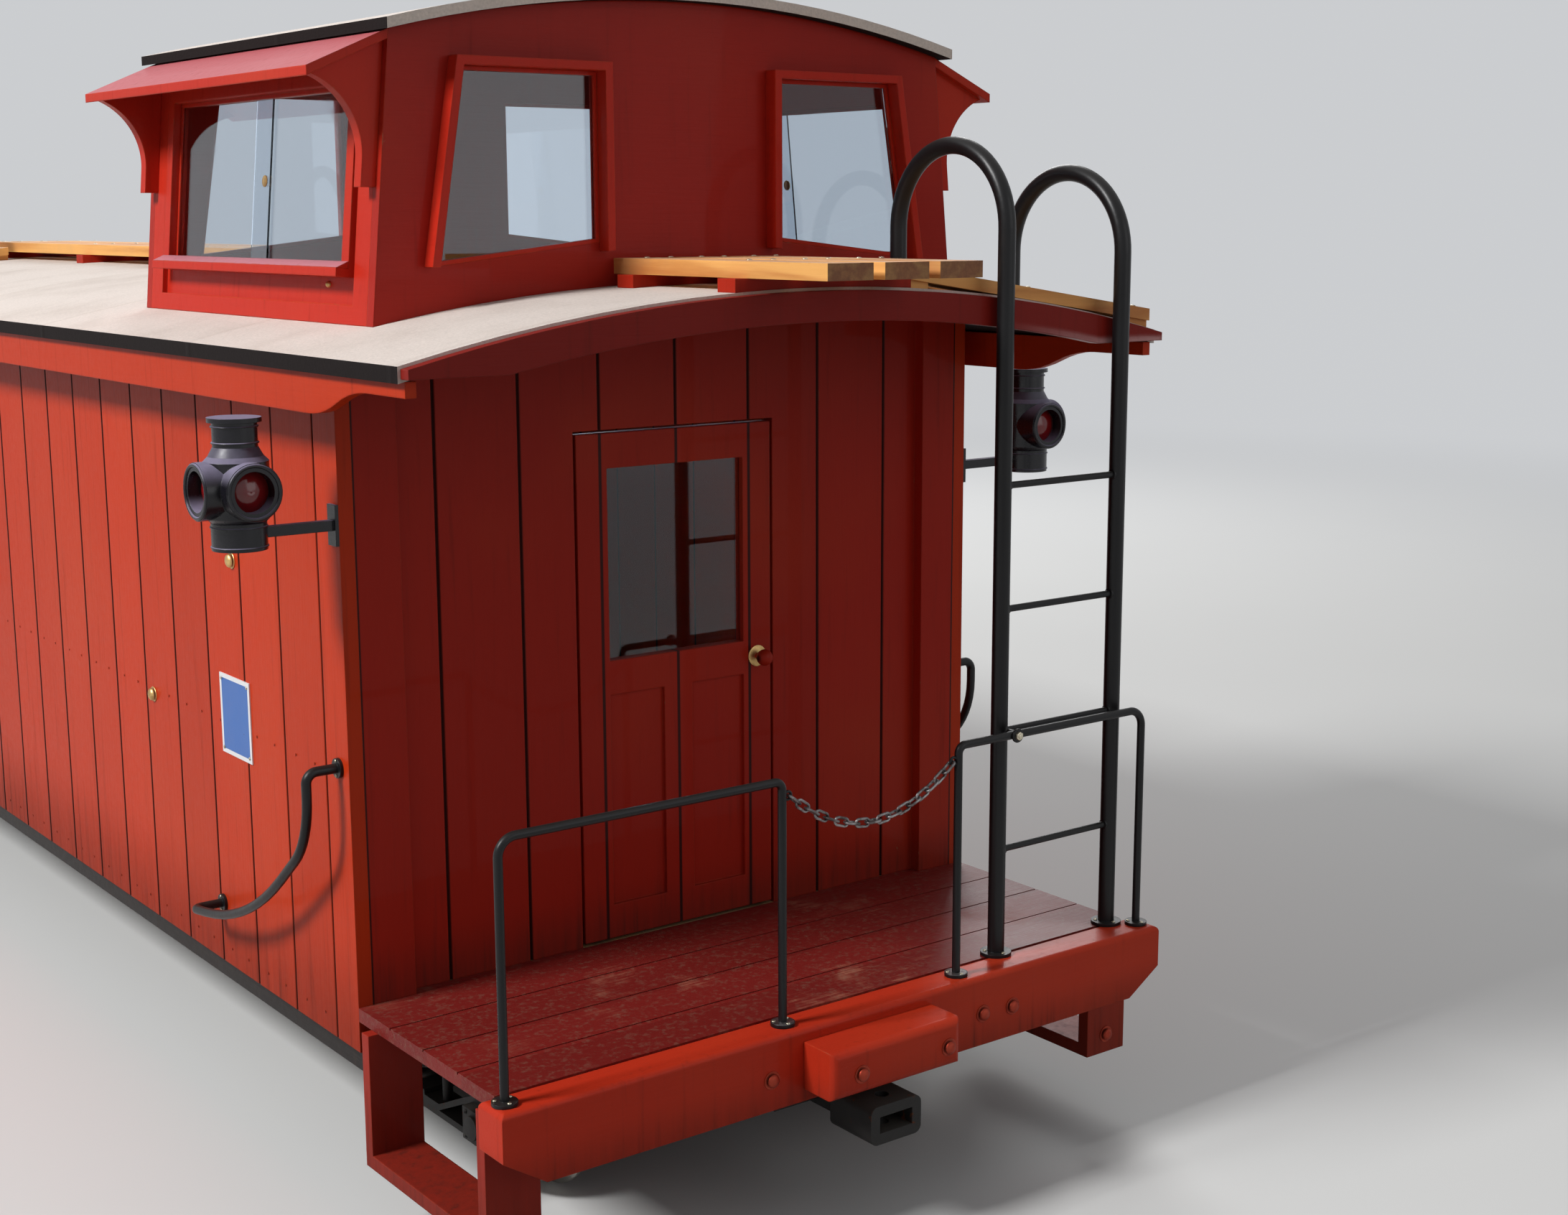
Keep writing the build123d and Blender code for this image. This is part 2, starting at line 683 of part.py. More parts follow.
def window(plane, opening, w, t, rim, below=True, stile=0, overlap=0):
    """Casing of width w and thickness t, sash of width rim and panes, drawn on a wall's outer face.

    A stile divides the sash; an overlap makes two panes that slide past each other.
    """
    outer = offset(opening, w, kind=Kind.INTERSECTION)
    box = opening.bounding_box()
    x, y, wide, high = box.center().X, box.center().Y, box.size.X, box.size.Y
    if not below:
        a, b = opening.edges().sort_by(Axis.Y)[0].vertices()
        under = make_face(Polyline((a.X, a.Y), (b.X, b.Y), (b.X, b.Y - 2 * w), (a.X, a.Y - 2 * w), close=True))
        outer = (outer & Pos(x, box.max.Y) * Rectangle(4 * wide, 2 * high)) - under
    casing = extrude(plane * (outer - opening), amount=t)
    inner = offset(opening, -rim, kind=Kind.INTERSECTION)
    bar = Pos(x, y) * Rectangle(stile, high) & inner if stile else None
    sash = Pos(0, 0, -sash_t) * extrude(opening - inner + bar if stile else opening - inner, amount=sash_t)
    if overlap:
        reach = wide / 2 + overlap / 2
        faces = [Pos(x + side * (wide - reach) / 2, y) * Rectangle(reach, high) & inner for side in (-1, 1)]
        depths = (-sash_t / 2 + slide_gap / 2, -sash_t / 2 - slide_gap / 2 - glass_t)
    else:
        faces, depths = [inner - bar if stile else inner], (-sash_t / 2 - glass_t / 2,)
    panes = [plane * (Pos(0, 0, z) * extrude(face, amount=glass_t)) for face, z in zip(faces, depths)]
    return casing, plane * sash, [solid for pane in panes for solid in pane.solids()]


def end_window_outline():
    """Trapezoid of the cupola's right end window, in X and Z above the base line."""
    top = cupola_roof_z - end_window_top - cupola_base_z
    return make_face(Polyline((end_window_in, end_window_low_in),
                              (end_window_out_low, end_window_low_out),
                              (end_window_out_top, top),
                              (end_window_in, top), close=True))


def cupola_end_plane(y, outward):
    """Drawing plane on a cupola end wall's outer face, base line at 0."""
    return Plane(origin=(0, y, cupola_base_z), x_dir=(-outward, 0, 0), z_dir=(0, outward, 0))


def cupola_side_plane(behind=0):
    """Drawing plane on the left wall's leaning outer face: x towards the front, y up the slope."""
    t = radians(cupola_lean)
    face = Plane(origin=(-cupola_base_w / 2, cupola_y + cupola_len / 2, cupola_base_z),
                 x_dir=(0, -1, 0), z_dir=(-cos(t), 0, sin(t)))
    return face.offset(-behind)


def up_slope(z):
    """Distance from the base line up the leaning wall to height z."""
    return (z - cupola_base_z) / cos(radians(cupola_lean))


def cupola_side_opening():
    """The side window on that plane."""
    low = up_slope(cupola_base_z + cupola_side_window_low)
    high = up_slope(cupola_roof_z - cupola_side_window_top)
    return Pos(0, (low + high) / 2) * Rectangle(cupola_len - 2 * cupola_side_window_in, high - low)


def cupola_end_wall(y, outward):
    """An end wall of the cupola, from roof to roof, with its two windows."""
    low = roof_under(cupola_base_w / 2)
    xb, (xt, zt) = cupola_x(low), cupola_eave()
    edges = [Line((-xb, 0, low), (xb, 0, low)), Line((xb, 0, low), (xt, 0, zt)),
             ThreePointArc((xt, 0, zt), (0, 0, cupola_under(0)), (-xt, 0, zt)),
             Line((-xt, 0, zt), (-xb, 0, low))]
    y0, y1 = sorted((y, y - outward * cupola_wall_t))
    wall = across(edges, y0, y1) - roof_core(y0 - 1, y1 + 1)
    plane = cupola_end_plane(y, outward)
    for flip in (False, True):
        hole = end_window_outline()
        hole = mirror(hole, about=Plane.YZ) if flip else hole
        wall -= plane * (Pos(0, 0, -cupola_wall_t - 1) * extrude(hole, amount=cupola_wall_t + 2))
    return wall


def roof_core(y0, y1):
    """Everything under the roof's top surface, down to the deck."""
    x, z = roof_w / 2, roof_top(roof_w / 2)
    return across([Line((-x, 0, deck_z), (x, 0, deck_z)), Line((x, 0, deck_z), (x, 0, z)),
                   arch_edge(x, roof_z, roof_r), Line((-x, 0, z), (-x, 0, deck_z))], y0, y1)


def cupola_side_wall():
    """The left wall of the cupola, leaning in, sunk between corner boards and a bottom rail."""
    low = roof_under(cupola_base_w / 2)
    xb, (xt, zt), t = cupola_x(low), cupola_eave(), cupola_wall_t
    y0, y1 = cupola_y + t, cupola_rear_y - t
    wall = poly_across([(-xb, low), (-xb + t, low), (-xt + t, cupola_under(xt - t)), (-xt, zt)], y0, y1)
    wall -= roof_core(y0 - 1, y1 + 1)
    opening = cupola_side_opening()
    hole = Pos(0, 0, -2 * t) * extrude(opening, amount=3 * t)
    rail = up_slope(roof_top(cupola_base_w / 2) + bottom_rail_h)
    top = opening.bounding_box().max.Y + cupola_side_casing_w
    field = Pos(0, (rail + top) / 2) * Rectangle(cupola_len - 2 * corner_board_w, top - rail)
    sunk = Pos(0, 0, -panel_in) * extrude(field, amount=t)
    return wall - cupola_side_plane() * hole - cupola_side_plane() * sunk


def roof():
    """The canvas-covered arch over the car, open under the cupola."""
    x = roof_w / 2
    z, zu = roof_top(x), roof_under(x)
    edges = [arch_edge(x, roof_z, roof_r), Line((-x, 0, z), (-x, 0, zu)),
             arch_edge(-x, roof_z - roof_t, roof_r - roof_t), Line((x, 0, zu), (x, 0, z))]
    y0 = roof_y + arch_board_t
    shell = across(edges, y0, -y0)
    hx, t = cupola_x(roof_z - 45) - cupola_wall_t - 8, cupola_wall_t
    return shell - block(-hx, hx, cupola_y + t, cupola_rear_y - t, deck_z, roof_z + 1)


def arch_board():
    """The board that closes the roof's end, curved above and below."""
    x, s = roof_w / 2 - arch_trim, roof_w / 2 - arch_shoulder_in
    crown = roof_z - arch_trim
    low = roof_z - arch_board_h
    z, zs = arch(x, crown, roof_r - arch_trim), arch(s, low, roof_r - arch_board_h)
    edges = [arch_edge(x, crown, roof_r - arch_trim), Line((-x, 0, z), (-x, 0, zs)),
             Line((-x, 0, zs), (-s, 0, zs)), arch_edge(-s, low, roof_r - arch_board_h),
             Line((s, 0, zs), (x, 0, zs)), Line((x, 0, zs), (x, 0, z))]
    return across(edges, roof_y, roof_y + arch_board_t)


def fascia():
    """The left eaves board: deep along the body, swept up to a narrow strip over each platform."""
    x1 = roof_w / 2 - fascia_in
    x0 = x1 - fascia_t
    high = roof_under(x1)
    low, thin = high - fascia_h, high - fascia_end_h
    ends = roof_y + arch_board_t
    a, b = beam_y + fascia_curve_from, beam_y + fascia_curve_to
    mid = ((a + b) / 2, (low + thin) / 2)

    def sweep_up(sign):
        one = TangentArc((0, sign * a, low), (0, sign * mid[0], mid[1]), tangent=(0, -sign * 1, 0))
        two = TangentArc((0, sign * b, thin), (0, sign * mid[0], mid[1]), tangent=(0, sign * 1, 0))
        return [one, two]

    edges = sweep_up(1) + sweep_up(-1) + [
        Line((0, a, low), (0, -a, low)),
        Line((0, b, thin), (0, ends, thin)), Line((0, -b, thin), (0, -ends, thin)),
        Line((0, ends, thin), (0, ends, high)), Line((0, -ends, thin), (0, -ends, high)),
        Line((0, ends, high), (0, -ends, high))]
    face = Face(Wire.combine(edges)[0])
    return extrude(Pos(-x1, 0, 0) * face, amount=x1 - x0, dir=(1, 0, 0))


def cupola_roof():
    """The cupola's own shallow arch."""
    x = cupola_roof_w / 2
    z, zu = arch(x, cupola_roof_z, cupola_r), cupola_under(x)
    edges = [arch_edge(x, cupola_roof_z, cupola_r), Line((-x, 0, z), (-x, 0, zu)),
             arch_edge(-x, cupola_roof_z - cupola_roof_t, cupola_r - cupola_roof_t),
             Line((x, 0, zu), (x, 0, z))]
    return across(edges, cupola_y - cupola_roof_out, cupola_rear_y + cupola_roof_out)


def visor():
    """The left sun visor over the side window, on its two curved knees."""
    top, tip = cupola_roof_z - visor_top, cupola_roof_z - visor_tip
    xw, xt = cupola_x(top), cupola_x(tip) + visor_out
    drop = visor_t * sqrt(1 + ((top - tip) / (xt - xw)) ** 2)
    under = top - drop
    board = poly_across([(-xw, top), (-cupola_x(under), under), (-xt, tip - drop), (-xt, tip)],
                        cupola_y, cupola_rear_y)
    low = cupola_base_z + bracket_low
    xl = cupola_x(low)
    reach = xt - 10
    reach_z = under - (under - tip + drop) * (reach - cupola_x(under)) / (xt - cupola_x(under))
    knee_z = low + bracket_foot_h
    edges = [Line((-xl, 0, low), (-xl - bracket_strip, 0, low)),
             Line((-xl - bracket_strip, 0, low), (-cupola_x(knee_z) - bracket_strip, 0, knee_z)),
             ThreePointArc((-cupola_x(knee_z) - bracket_strip, 0, knee_z),
                           (-xl - bracket_strip - 16, 0, reach_z - 36), (-reach, 0, reach_z)),
             Line((-reach, 0, reach_z), (-cupola_x(under), 0, under)),
             Line((-cupola_x(under), 0, under), (-xl, 0, low))]
    for y in (cupola_y + bracket_in, cupola_rear_y - bracket_in - bracket_t):
        board += across(edges, y, y + bracket_t)
    return board


# Roof walk

def walk_boards(y0, y1):
    """Three boards along the roof."""
    pitch = walk_board_w + walk_gap
    return [block(x - walk_board_w / 2, x + walk_board_w / 2, y0, y1, walk_z, walk_z + walk_board_t)
            for x in (-pitch, 0, pitch)]


def saddle(y):
    """A cross piece between roof and boards, hollowed to the roof's curve."""
    x = saddle_w / 2
    piece = block(-x, x, y, y + saddle_len, roof_top(x) - 20, walk_z)
    return piece - roof_core(y - 1, y + saddle_len + 1)


def side_steps():
    """Two boards down the roof's right side beside the ladder, on small blocks."""
    z0, z1 = roof_top(side_step_from), roof_top(side_step_to)
    lift, t = side_step_block, side_step_t
    pieces = []
    for i in (0, 1):
        y = roof_y + side_step_in + i * (side_step_w + side_step_gap)
        base = [(side_step_from, z0 + lift), (side_step_to, z1 + lift),
                (side_step_to, z1 + lift + t), (side_step_from, z0 + lift + t)]
        board = poly_across(base, y, y + side_step_w)
        above = poly_across([(side_step_from, z0 + lift), (side_step_to, z1 + lift),
                             (side_step_to, z0 + lift + t), (side_step_from, z0 + lift + t)],
                            y - 1, y + side_step_w + 1)
        w, inset = side_step_block_w, side_step_block_in
        for x in (side_step_from, (side_step_from + side_step_to - w) / 2, side_step_to - w):
            foot = block(x, x + w, y + inset, y + side_step_w - inset, roof_under(x + w), z0 + lift)
            board += foot - above - roof_core(y - 1, y + side_step_w + 1)
        pieces.append(board)
    return pieces


# Ironwork of one end

def foot(x, y, d=foot_d):
    return post(x, y, deck_z, deck_z + foot_t, d)


def railing():
    """Bent-rod rails either side of the gap, on foot plates."""
    y, top = beam_y + rail_y, deck_z + rail_h
    solids = []
    for out, inner in ((-rail_out_x, rail_gap_left), (rail_out_x, rail_gap_right)):
        path = bent([(out, y, deck_z), (out, y, top), (inner, y, top), (inner, y, deck_z)],
                    (rail_bend, inner_bend))
        piece = rod(path, rail_rod) + foot(out, y) + foot(inner, y)
        toward = 1 if inner < 0 else -1
        eye = Pos(inner + toward * (rail_rod / 2 + link_w / 2 - link_wire), y, deck_z + chain_eye_z)
        piece += eye * Rot(90, 0, 0) * Torus(link_w / 2 - link_wire / 2, link_wire / 2)
        solids.append(piece)
    return solids


def ladder():
    """Two rails hooked over the roof, with their rungs."""
    y, x0, x1 = beam_y + ladder_y, ladder_left, ladder_right
    back = y + 2 * ladder_hook_r
    piece = None
    for x in (x0, x1):
        hook_z = roof_top(x) + ladder_hook_up
        edges = [Line((x, y, deck_z), (x, y, hook_z)),
                 ThreePointArc((x, y, hook_z), (x, y + ladder_hook_r, hook_z + ladder_hook_r),
                               (x, back, hook_z)),
                 Line((x, back, hook_z), (x, back, roof_top(x + ladder_rod) - 2))]
        rail = rod(Wire(edges), ladder_rod)
        rail -= roof_core(back - ladder_rod, back + ladder_rod)
        rail += foot(x, y, foot_d + ladder_rod / 2)
        piece = rail if piece is None else piece + rail
    for i in range(rungs):
        z = deck_z + rung_first + i * rung_pitch
        piece += Pos((x0 + x1) / 2, y, z) * Rot(0, 90, 0) * Cylinder(rung_d / 2, x1 - x0)
    return piece


def link_loop(length):
    """One chain link lying along X in the XZ plane."""
    r = (link_w - link_wire) / 2
    h = (length - link_w) / 2
    path = Wire([Line((-h, 0, r), (h, 0, r)), ThreePointArc((h, 0, r), (h + r, 0, 0), (h, 0, -r)),
                 Line((h, 0, -r), (-h, 0, -r)), ThreePointArc((-h, 0, -r), (-h - r, 0, 0), (-h, 0, r))])
    return rod(path, link_wire)


def chain():
    """Links hung in an even curve between the railing's two eyes."""
    eye_out = rail_rod / 2 + link_w / 2 - link_wire + (link_w - link_wire) / 2 - link_wire - link_slack
    x0, x1 = rail_gap_left + eye_out, rail_gap_right - eye_out
    span, y, z_end = x1 - x0, beam_y + rail_y, deck_z + chain_eye_z
    bore = link_len - 2 * link_wire - link_slack

    def point(t):
        return Vector(x0 + span * t, y, z_end - chain_drop * (1 - (2 * t - 1) ** 2))

    steps = 400
    curve = [point(i / steps) for i in range(steps + 1)]
    length = sum((b - a).length for a, b in zip(curve, curve[1:]))
    reach = length - link_wire - link_slack
    links = 2 * round((reach / bore - 1) / 2) + 1    # odd: the first and last link both lie across their eyes
    pitch = reach / links
    size = pitch + 2 * link_wire + link_slack
    loop, places, run, want = link_loop(size), [], -(link_wire + link_slack) / 2, pitch / 2
    for a, b in zip(curve, curve[1:]):
        step_len = (b - a).length
        while len(places) < links and run + step_len >= want:
            f = (want - run) / step_len
            places.append((a + (b - a) * f, degrees(atan2((b - a).Z, (b - a).X))))
            want += pitch
        run += step_len
    return [Pos(*p) * Rot(0, -tilt, 0) * Rot(0 if i % 2 else 90, 0, 0) * loop
            for i, (p, tilt) in enumerate(places)]


def grab_iron():
    """The left side's curved handrail behind the front corner."""
    x, out = -body_x, -body_x - grab_stand_off
    y0 = body_y + grab_from_corner
    y1 = y0 + grab_run
    top = grab_knee + grab_rise
    path = bent([(x, y0, deck_z + top), (out, y0, deck_z + top), (out, y0, deck_z + grab_knee),
                 (out, y0 + grab_knee_run, deck_z + grab_turn), (out, y1, deck_z + grab_foot),
                 (x, y1, deck_z + grab_foot)],
                (grab_small_bend, grab_bend, grab_turn_bend, grab_small_bend))
    piece = rod(path, grab_rod)
    for y, z in ((y0, top), (y1, grab_foot)):
        piece += Pos(x - foot_t / 2, y, deck_z + z) * Rot(0, 90, 0) * Cylinder(grab_rod, foot_t)
    return piece


def lamp_middle():
    """Height of the lamp's lenses."""
    return deck_z + lamp_low + lamp_foot_h + lamp_body_h / 2


def lamp():
    """The left marker lamp: oil pot, turned body with two lens tubes, neck and cap, on its arm."""
    x, y, low = -body_x - lamp_out, body_y, deck_z + lamp_low
    foot_r, body_r, neck_r = lamp_foot_d / 2, lamp_d / 2, lamp_neck_d / 2
    shoulder = lamp_foot_h + lamp_body_h
    neck = shoulder + lamp_shoulder_h
    cap = neck + lamp_neck_h
    round_over = (body_r - neck_r) / 2
    # columns: radius, height above the lamp's foot
    outline = [(0, 0), (foot_r, 0), (foot_r, lamp_foot_h), (body_r - round_over, lamp_foot_h),
               (body_r, lamp_foot_h + round_over), (body_r, shoulder - round_over),
               (body_r - round_over, shoulder), (neck_r, neck), (neck_r, cap),
               (lamp_cap_d / 2, cap), (lamp_cap_d / 2, cap + lamp_cap_h), (0, cap + lamp_cap_h)]
    face = make_face(Polyline(*[(r, 0, z) for r, z in outline], close=True))
    body = Pos(x, y, low) * revolve(face, axis=Axis.Z, revolution_arc=360)
    mouth = body_r + lens_tube
    for turn in lens_turns:
        tube = Pos(0, 0, mouth / 2) * Cylinder(lens_d / 2 + lens_rim, mouth)
        body += Pos(x, y, lamp_middle()) * turn * tube
    for turn in lens_turns:
        seat = Pos(0, 0, mouth) * Cylinder(lens_d / 2, 2 * (lens_sunk + lens_out))
        body -= Pos(x, y, lamp_middle()) * turn * seat
    mid = low + lamp_foot_h / 2
    arm = block(x, -body_x, y + foot_t, y + foot_t + lamp_arm, mid - lamp_arm / 2, mid + lamp_arm / 2)
    plate = block(-body_x - foot_t, -body_x, y, y + 2 * foot_t + lamp_arm, mid - 2 * lamp_arm, mid + 2 * lamp_arm)
    return body + arm + plate


# A marker lamp's lenses look out of the end and out of the side
lens_turns = (Rot(90, 0, 0), Rot(0, -90, 0))


def lenses():
    """The left lamp's two domed lenses, seated at the bottom of their tubes."""
    x, y = -body_x - lamp_out, body_y
    r = (lens_d ** 2 / 4 + lens_out ** 2) / (2 * lens_out)
    dome = Pos(0, 0, lens_out - r) * Sphere(r) & Pos(0, 0, lens_out / 2) * Cylinder(lens_d / 2, lens_out)
    seat = lamp_d / 2 + lens_tube - lens_sunk - lens_out
    return [Pos(x, y, lamp_middle()) * turn * Pos(0, 0, seat) * dome for turn in lens_turns]


def build():
    """Make every node, front pieces first and the rear ones by turning them."""
    for end, flip in (("front", lambda s: s), ("rear", turned)):
        keep(f"truck_{end}_frame", flip(Pos(0, truck_y, 0) * truck_frame()))
        keep(f"truck_{end}_bolster", flip(Pos(0, truck_y, 0) * truck_bolster()))
        keep(f"truck_{end}_springs", *[flip(Pos(0, truck_y, 0) * truck_spring(x))
                                       for x in (-spring_x, spring_x)])
        for place, y in (("outer", truck_y - wheelbase / 2), ("inner", truck_y + wheelbase / 2)):
            keep(f"wheelset_{end}_{place}", flip(wheelset(y)))
        keep(f"end_beam_{end}", flip(end_beam()))
        keep(f"buffer_block_{end}", flip(buffer_block()))
        keep(f"coupler_{end}", flip(coupler()))
        keep(f"deck_{end}", flip(deck()))
        keep(f"steps_{end}", flip(step(-1)), flip(step(1)))
        keep(f"end_wall_{end}", flip(end_wall()))
        keep(f"door_{end}", flip(door()))
        keep(f"door_glass_{end}", flip(door_pane()))
        keep(f"arch_board_{end}", flip(arch_board()))
        keep(f"railing_{end}", *[flip(s) for s in railing()])
        keep(f"ladder_{end}", flip(ladder()))
        keep(f"chain_{end}", *[flip(s) for s in chain()])

    keep("door_hinges", *[flip(hinge(z)) for flip in (lambda s: s, turned) for z in hinge_zs])

    beam_in = beam_y + beam_t
    centre_sill = block(-sill_gap / 2 - sill_w, -sill_gap / 2, beam_in, -beam_in, sill_z, floor_z)
    side_sill = block(-inner_x, -side_sill_x, body_y, -body_y, floor_z - side_sill_h, floor_z)
    keep("sills", centre_sill, mirrored(centre_sill), side_sill, mirrored(side_sill))
    bearers = [block(-side_sill_x, side_sill_x, y - bearer_w / 2, y + bearer_w / 2, cross_z, sill_z)
               for y in (-bearer_from_middle, bearer_from_middle)]
    keep("cross_members", body_bolster(), turned(body_bolster()), *bearers)
    x = body_x - corner_post_w
    floor = block(-inner_x, inner_x, body_y, -body_y, floor_z, deck_z)
    front = block(-x, x, body_y, end_wall_y, floor_z, deck_z)
    keep("floor", floor - front - turned(front))

    wall = side_wall()
    keep("side_wall_left", wall)
    keep("side_wall_right", mirrored(wall))
    keep("roof", roof())
    board = fascia()
    keep("fascia_left", board)
    keep("fascia_right", mirrored(board))

    keep("cupola_wall_front", cupola_end_wall(cupola_y, -1))
    keep("cupola_wall_rear", cupola_end_wall(cupola_rear_y, 1))
    wall = cupola_side_wall()
    keep("cupola_wall_left", wall)
    keep("cupola_wall_right", mirrored(wall))
    keep("cupola_roof", cupola_roof())
    board = visor()
    keep("visor_left", board)
    keep("visor_right", mirrored(board))

    frames, panes = [], []
    for y, outward in ((cupola_y, -1), (cupola_rear_y, 1)):
        for flip in (False, True):
            hole = end_window_outline()
            hole = mirror(hole, about=Plane.YZ) if flip else hole
            casing, sash, glass = window(cupola_end_plane(y, outward), hole, end_casing_w, end_casing_t,
                                         cupola_sash_w, below=False)
            frames += [casing + sash]
            panes += glass
    plane, opening = cupola_side_plane(panel_in), cupola_side_opening()
    casing, sash, glass = window(plane, opening, cupola_side_casing_w, panel_in + cupola_side_casing_out,
                                 cupola_sash_w, below=False, overlap=slide_overlap)
    box = opening.bounding_box()
    ledge = Pos(0, box.min.Y - cupola_sill_t / 2, (panel_in + cupola_sill_out) / 2) * Box(
        box.size.X + 2 * cupola_side_casing_w, cupola_sill_t, panel_in + cupola_sill_out)
    frame = casing + sash + plane * ledge
    frames += [frame, mirrored(frame)]
    panes += glass + [mirrored(pane) for pane in glass]
    keep("cupola_windows", *frames)

    y0, z0 = side_window_from, deck_z + side_window_low
    plane = Plane(origin=(-body_x, y0 + side_window_w / 2, z0 + side_window_h / 2),
                  x_dir=(0, -1, 0), z_dir=(-1, 0, 0))
    casing, sash, glass = window(plane, Rectangle(side_window_w, side_window_h), casing_w, casing_t,
                                 sash_w, stile=meeting_stile)
    ledge = block(-body_x - window_sill_out, -body_x, y0 - casing_w, y0 + side_window_w + casing_w,
                  z0 - casing_w - window_sill_t, z0 - casing_w)
    frame = casing + sash + ledge
    keep("side_windows", frame, mirrored(frame))
    panes += glass + [mirrored(pane) for pane in glass]
    keep("window_glass", *panes)

    front = walk_boards(beam_y - walk_past_beam, cupola_y)
    rear = walk_boards(cupola_rear_y, -beam_y + walk_past_beam)
    first = roof_y + arch_board_t
    keep("roof_walk_front", *front, *side_steps())
    keep("roof_walk_rear", *rear, *[turned(s) for s in side_steps()])
    run = -first - saddle_len - (cupola_rear_y + saddle_len)
    bays = max(1, round(run / saddle_pitch))
    places = [cupola_rear_y + saddle_len + run * i / bays for i in range(bays + 1)]
    keep("walk_saddles", *[saddle(y) for y in [first, cupola_y - 2 * saddle_len] + places])

    iron = grab_iron()
    keep("grab_irons", iron, mirrored(iron), turned(iron), turned(mirrored(iron)))
    piece = lamp()
    keep("marker_lamps", piece, mirrored(piece), turned(piece), turned(mirrored(piece)))
    glow = lenses()
    keep("lamp_lenses", *[f(s) for f in (lambda s: s, mirrored, turned, lambda s: turned(mirrored(s)))
                          for s in glow])
    keep("blank_plate", block(-body_x - plate_t, -body_x, body_y + plate_from_corner - plate_w / 2,
                              body_y + plate_from_corner + plate_w / 2,
                              deck_z + plate_z - plate_h / 2, deck_z + plate_z + plate_h / 2))


build()
os.makedirs("parts", exist_ok=True)
for name, shape in nodes.items():
    export_step(shape, f"parts/{name}.step")
print(len(nodes), "nodes written")
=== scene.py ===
"""A park-train caboose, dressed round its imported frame.

Lengths are in metres, in the frame's own axes: +X to the right as seen from the front end, +Y along the
car towards its rear end, +Z up, with zero where the wheel flanges reach lowest.
"""

import logging
import math
from dataclasses import dataclass, field
from enum import Enum
from typing import Callable, Optional, Sequence, Union

import bmesh
import bpy
from mathutils import Matrix, Vector

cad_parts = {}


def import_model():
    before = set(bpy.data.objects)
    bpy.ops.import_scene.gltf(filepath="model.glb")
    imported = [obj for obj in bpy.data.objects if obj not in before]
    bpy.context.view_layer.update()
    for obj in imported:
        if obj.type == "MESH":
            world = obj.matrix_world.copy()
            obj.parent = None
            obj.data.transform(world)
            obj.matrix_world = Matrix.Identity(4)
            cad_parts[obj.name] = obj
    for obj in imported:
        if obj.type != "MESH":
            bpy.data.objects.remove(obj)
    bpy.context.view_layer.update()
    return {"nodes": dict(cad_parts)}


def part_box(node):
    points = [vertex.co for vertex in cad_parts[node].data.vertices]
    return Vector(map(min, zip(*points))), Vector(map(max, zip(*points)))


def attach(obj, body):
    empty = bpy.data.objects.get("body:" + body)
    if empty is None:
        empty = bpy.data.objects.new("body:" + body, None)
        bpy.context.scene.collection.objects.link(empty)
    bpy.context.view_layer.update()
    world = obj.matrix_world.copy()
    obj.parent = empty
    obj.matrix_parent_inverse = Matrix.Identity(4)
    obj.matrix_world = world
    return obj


log = logging.getLogger("caboose")

Material, Object, NodeSocket = bpy.types.Material, bpy.types.Object, bpy.types.NodeSocket
Colour = tuple[float, float, float]
Point = Sequence[float]
Place = tuple[Vector, Vector]    # a seat, and the way that what sits there faces
UP, DOWN = Vector((0, 0, 1)), Vector((0, 0, -1))


def srgb(*levels: int) -> Colour:
    """Linear colour of an 8-bit screen colour, given as its red, green and blue."""
    shares = [level / 255 for level in levels]
    return tuple(s / 12.92 if s <= 0.04045 else ((s + 0.055) / 1.055) ** 2.4 for s in shares)


class End(Enum):
    """The car's two ends; the rear one is the front one turned half round."""

    FRONT = "front"
    REAR = "rear"

    def turn(self, point: Point) -> Vector:
        """A point or a direction drawn at the front end, at this end."""
        sign = 1 if self is End.FRONT else -1
        return Vector((sign * point[0], sign * point[1], point[2]))


class Side(Enum):
    """The car's sides as seen from the front end."""

    LEFT = "left"
    RIGHT = "right"


class Head(Enum):
    """Kinds of fixing heads, named as the methods that model them."""

    DOME = "dome"
    HEX = "hex"
    SCREW = "screw"
    COLLAR = "collar"
    RING = "ring"


class Axis(Enum):
    """Coordinate axes, as a separated vector numbers them."""

    X = 0
    Y = 1
    Z = 2


# Shader nodes


def maths(operation: str, swap: bool = False) -> Callable[..., "Sock"]:
    """Make a method of Sock that adds one Math node.

    Args:
        operation: The Math node's operation.
        swap: Whether the other value comes first.

    Returns:
        The method.
    """
    def method(self: "Sock", other: Union["Sock", float] = 0.0) -> "Sock":
        """This value and the other one, joined by the node."""
        inputs = {0: other, 1: self} if swap else {0: self, 1: other}
        return self.tree.put("ShaderNodeMath", inputs, {"operation": operation})

    return method


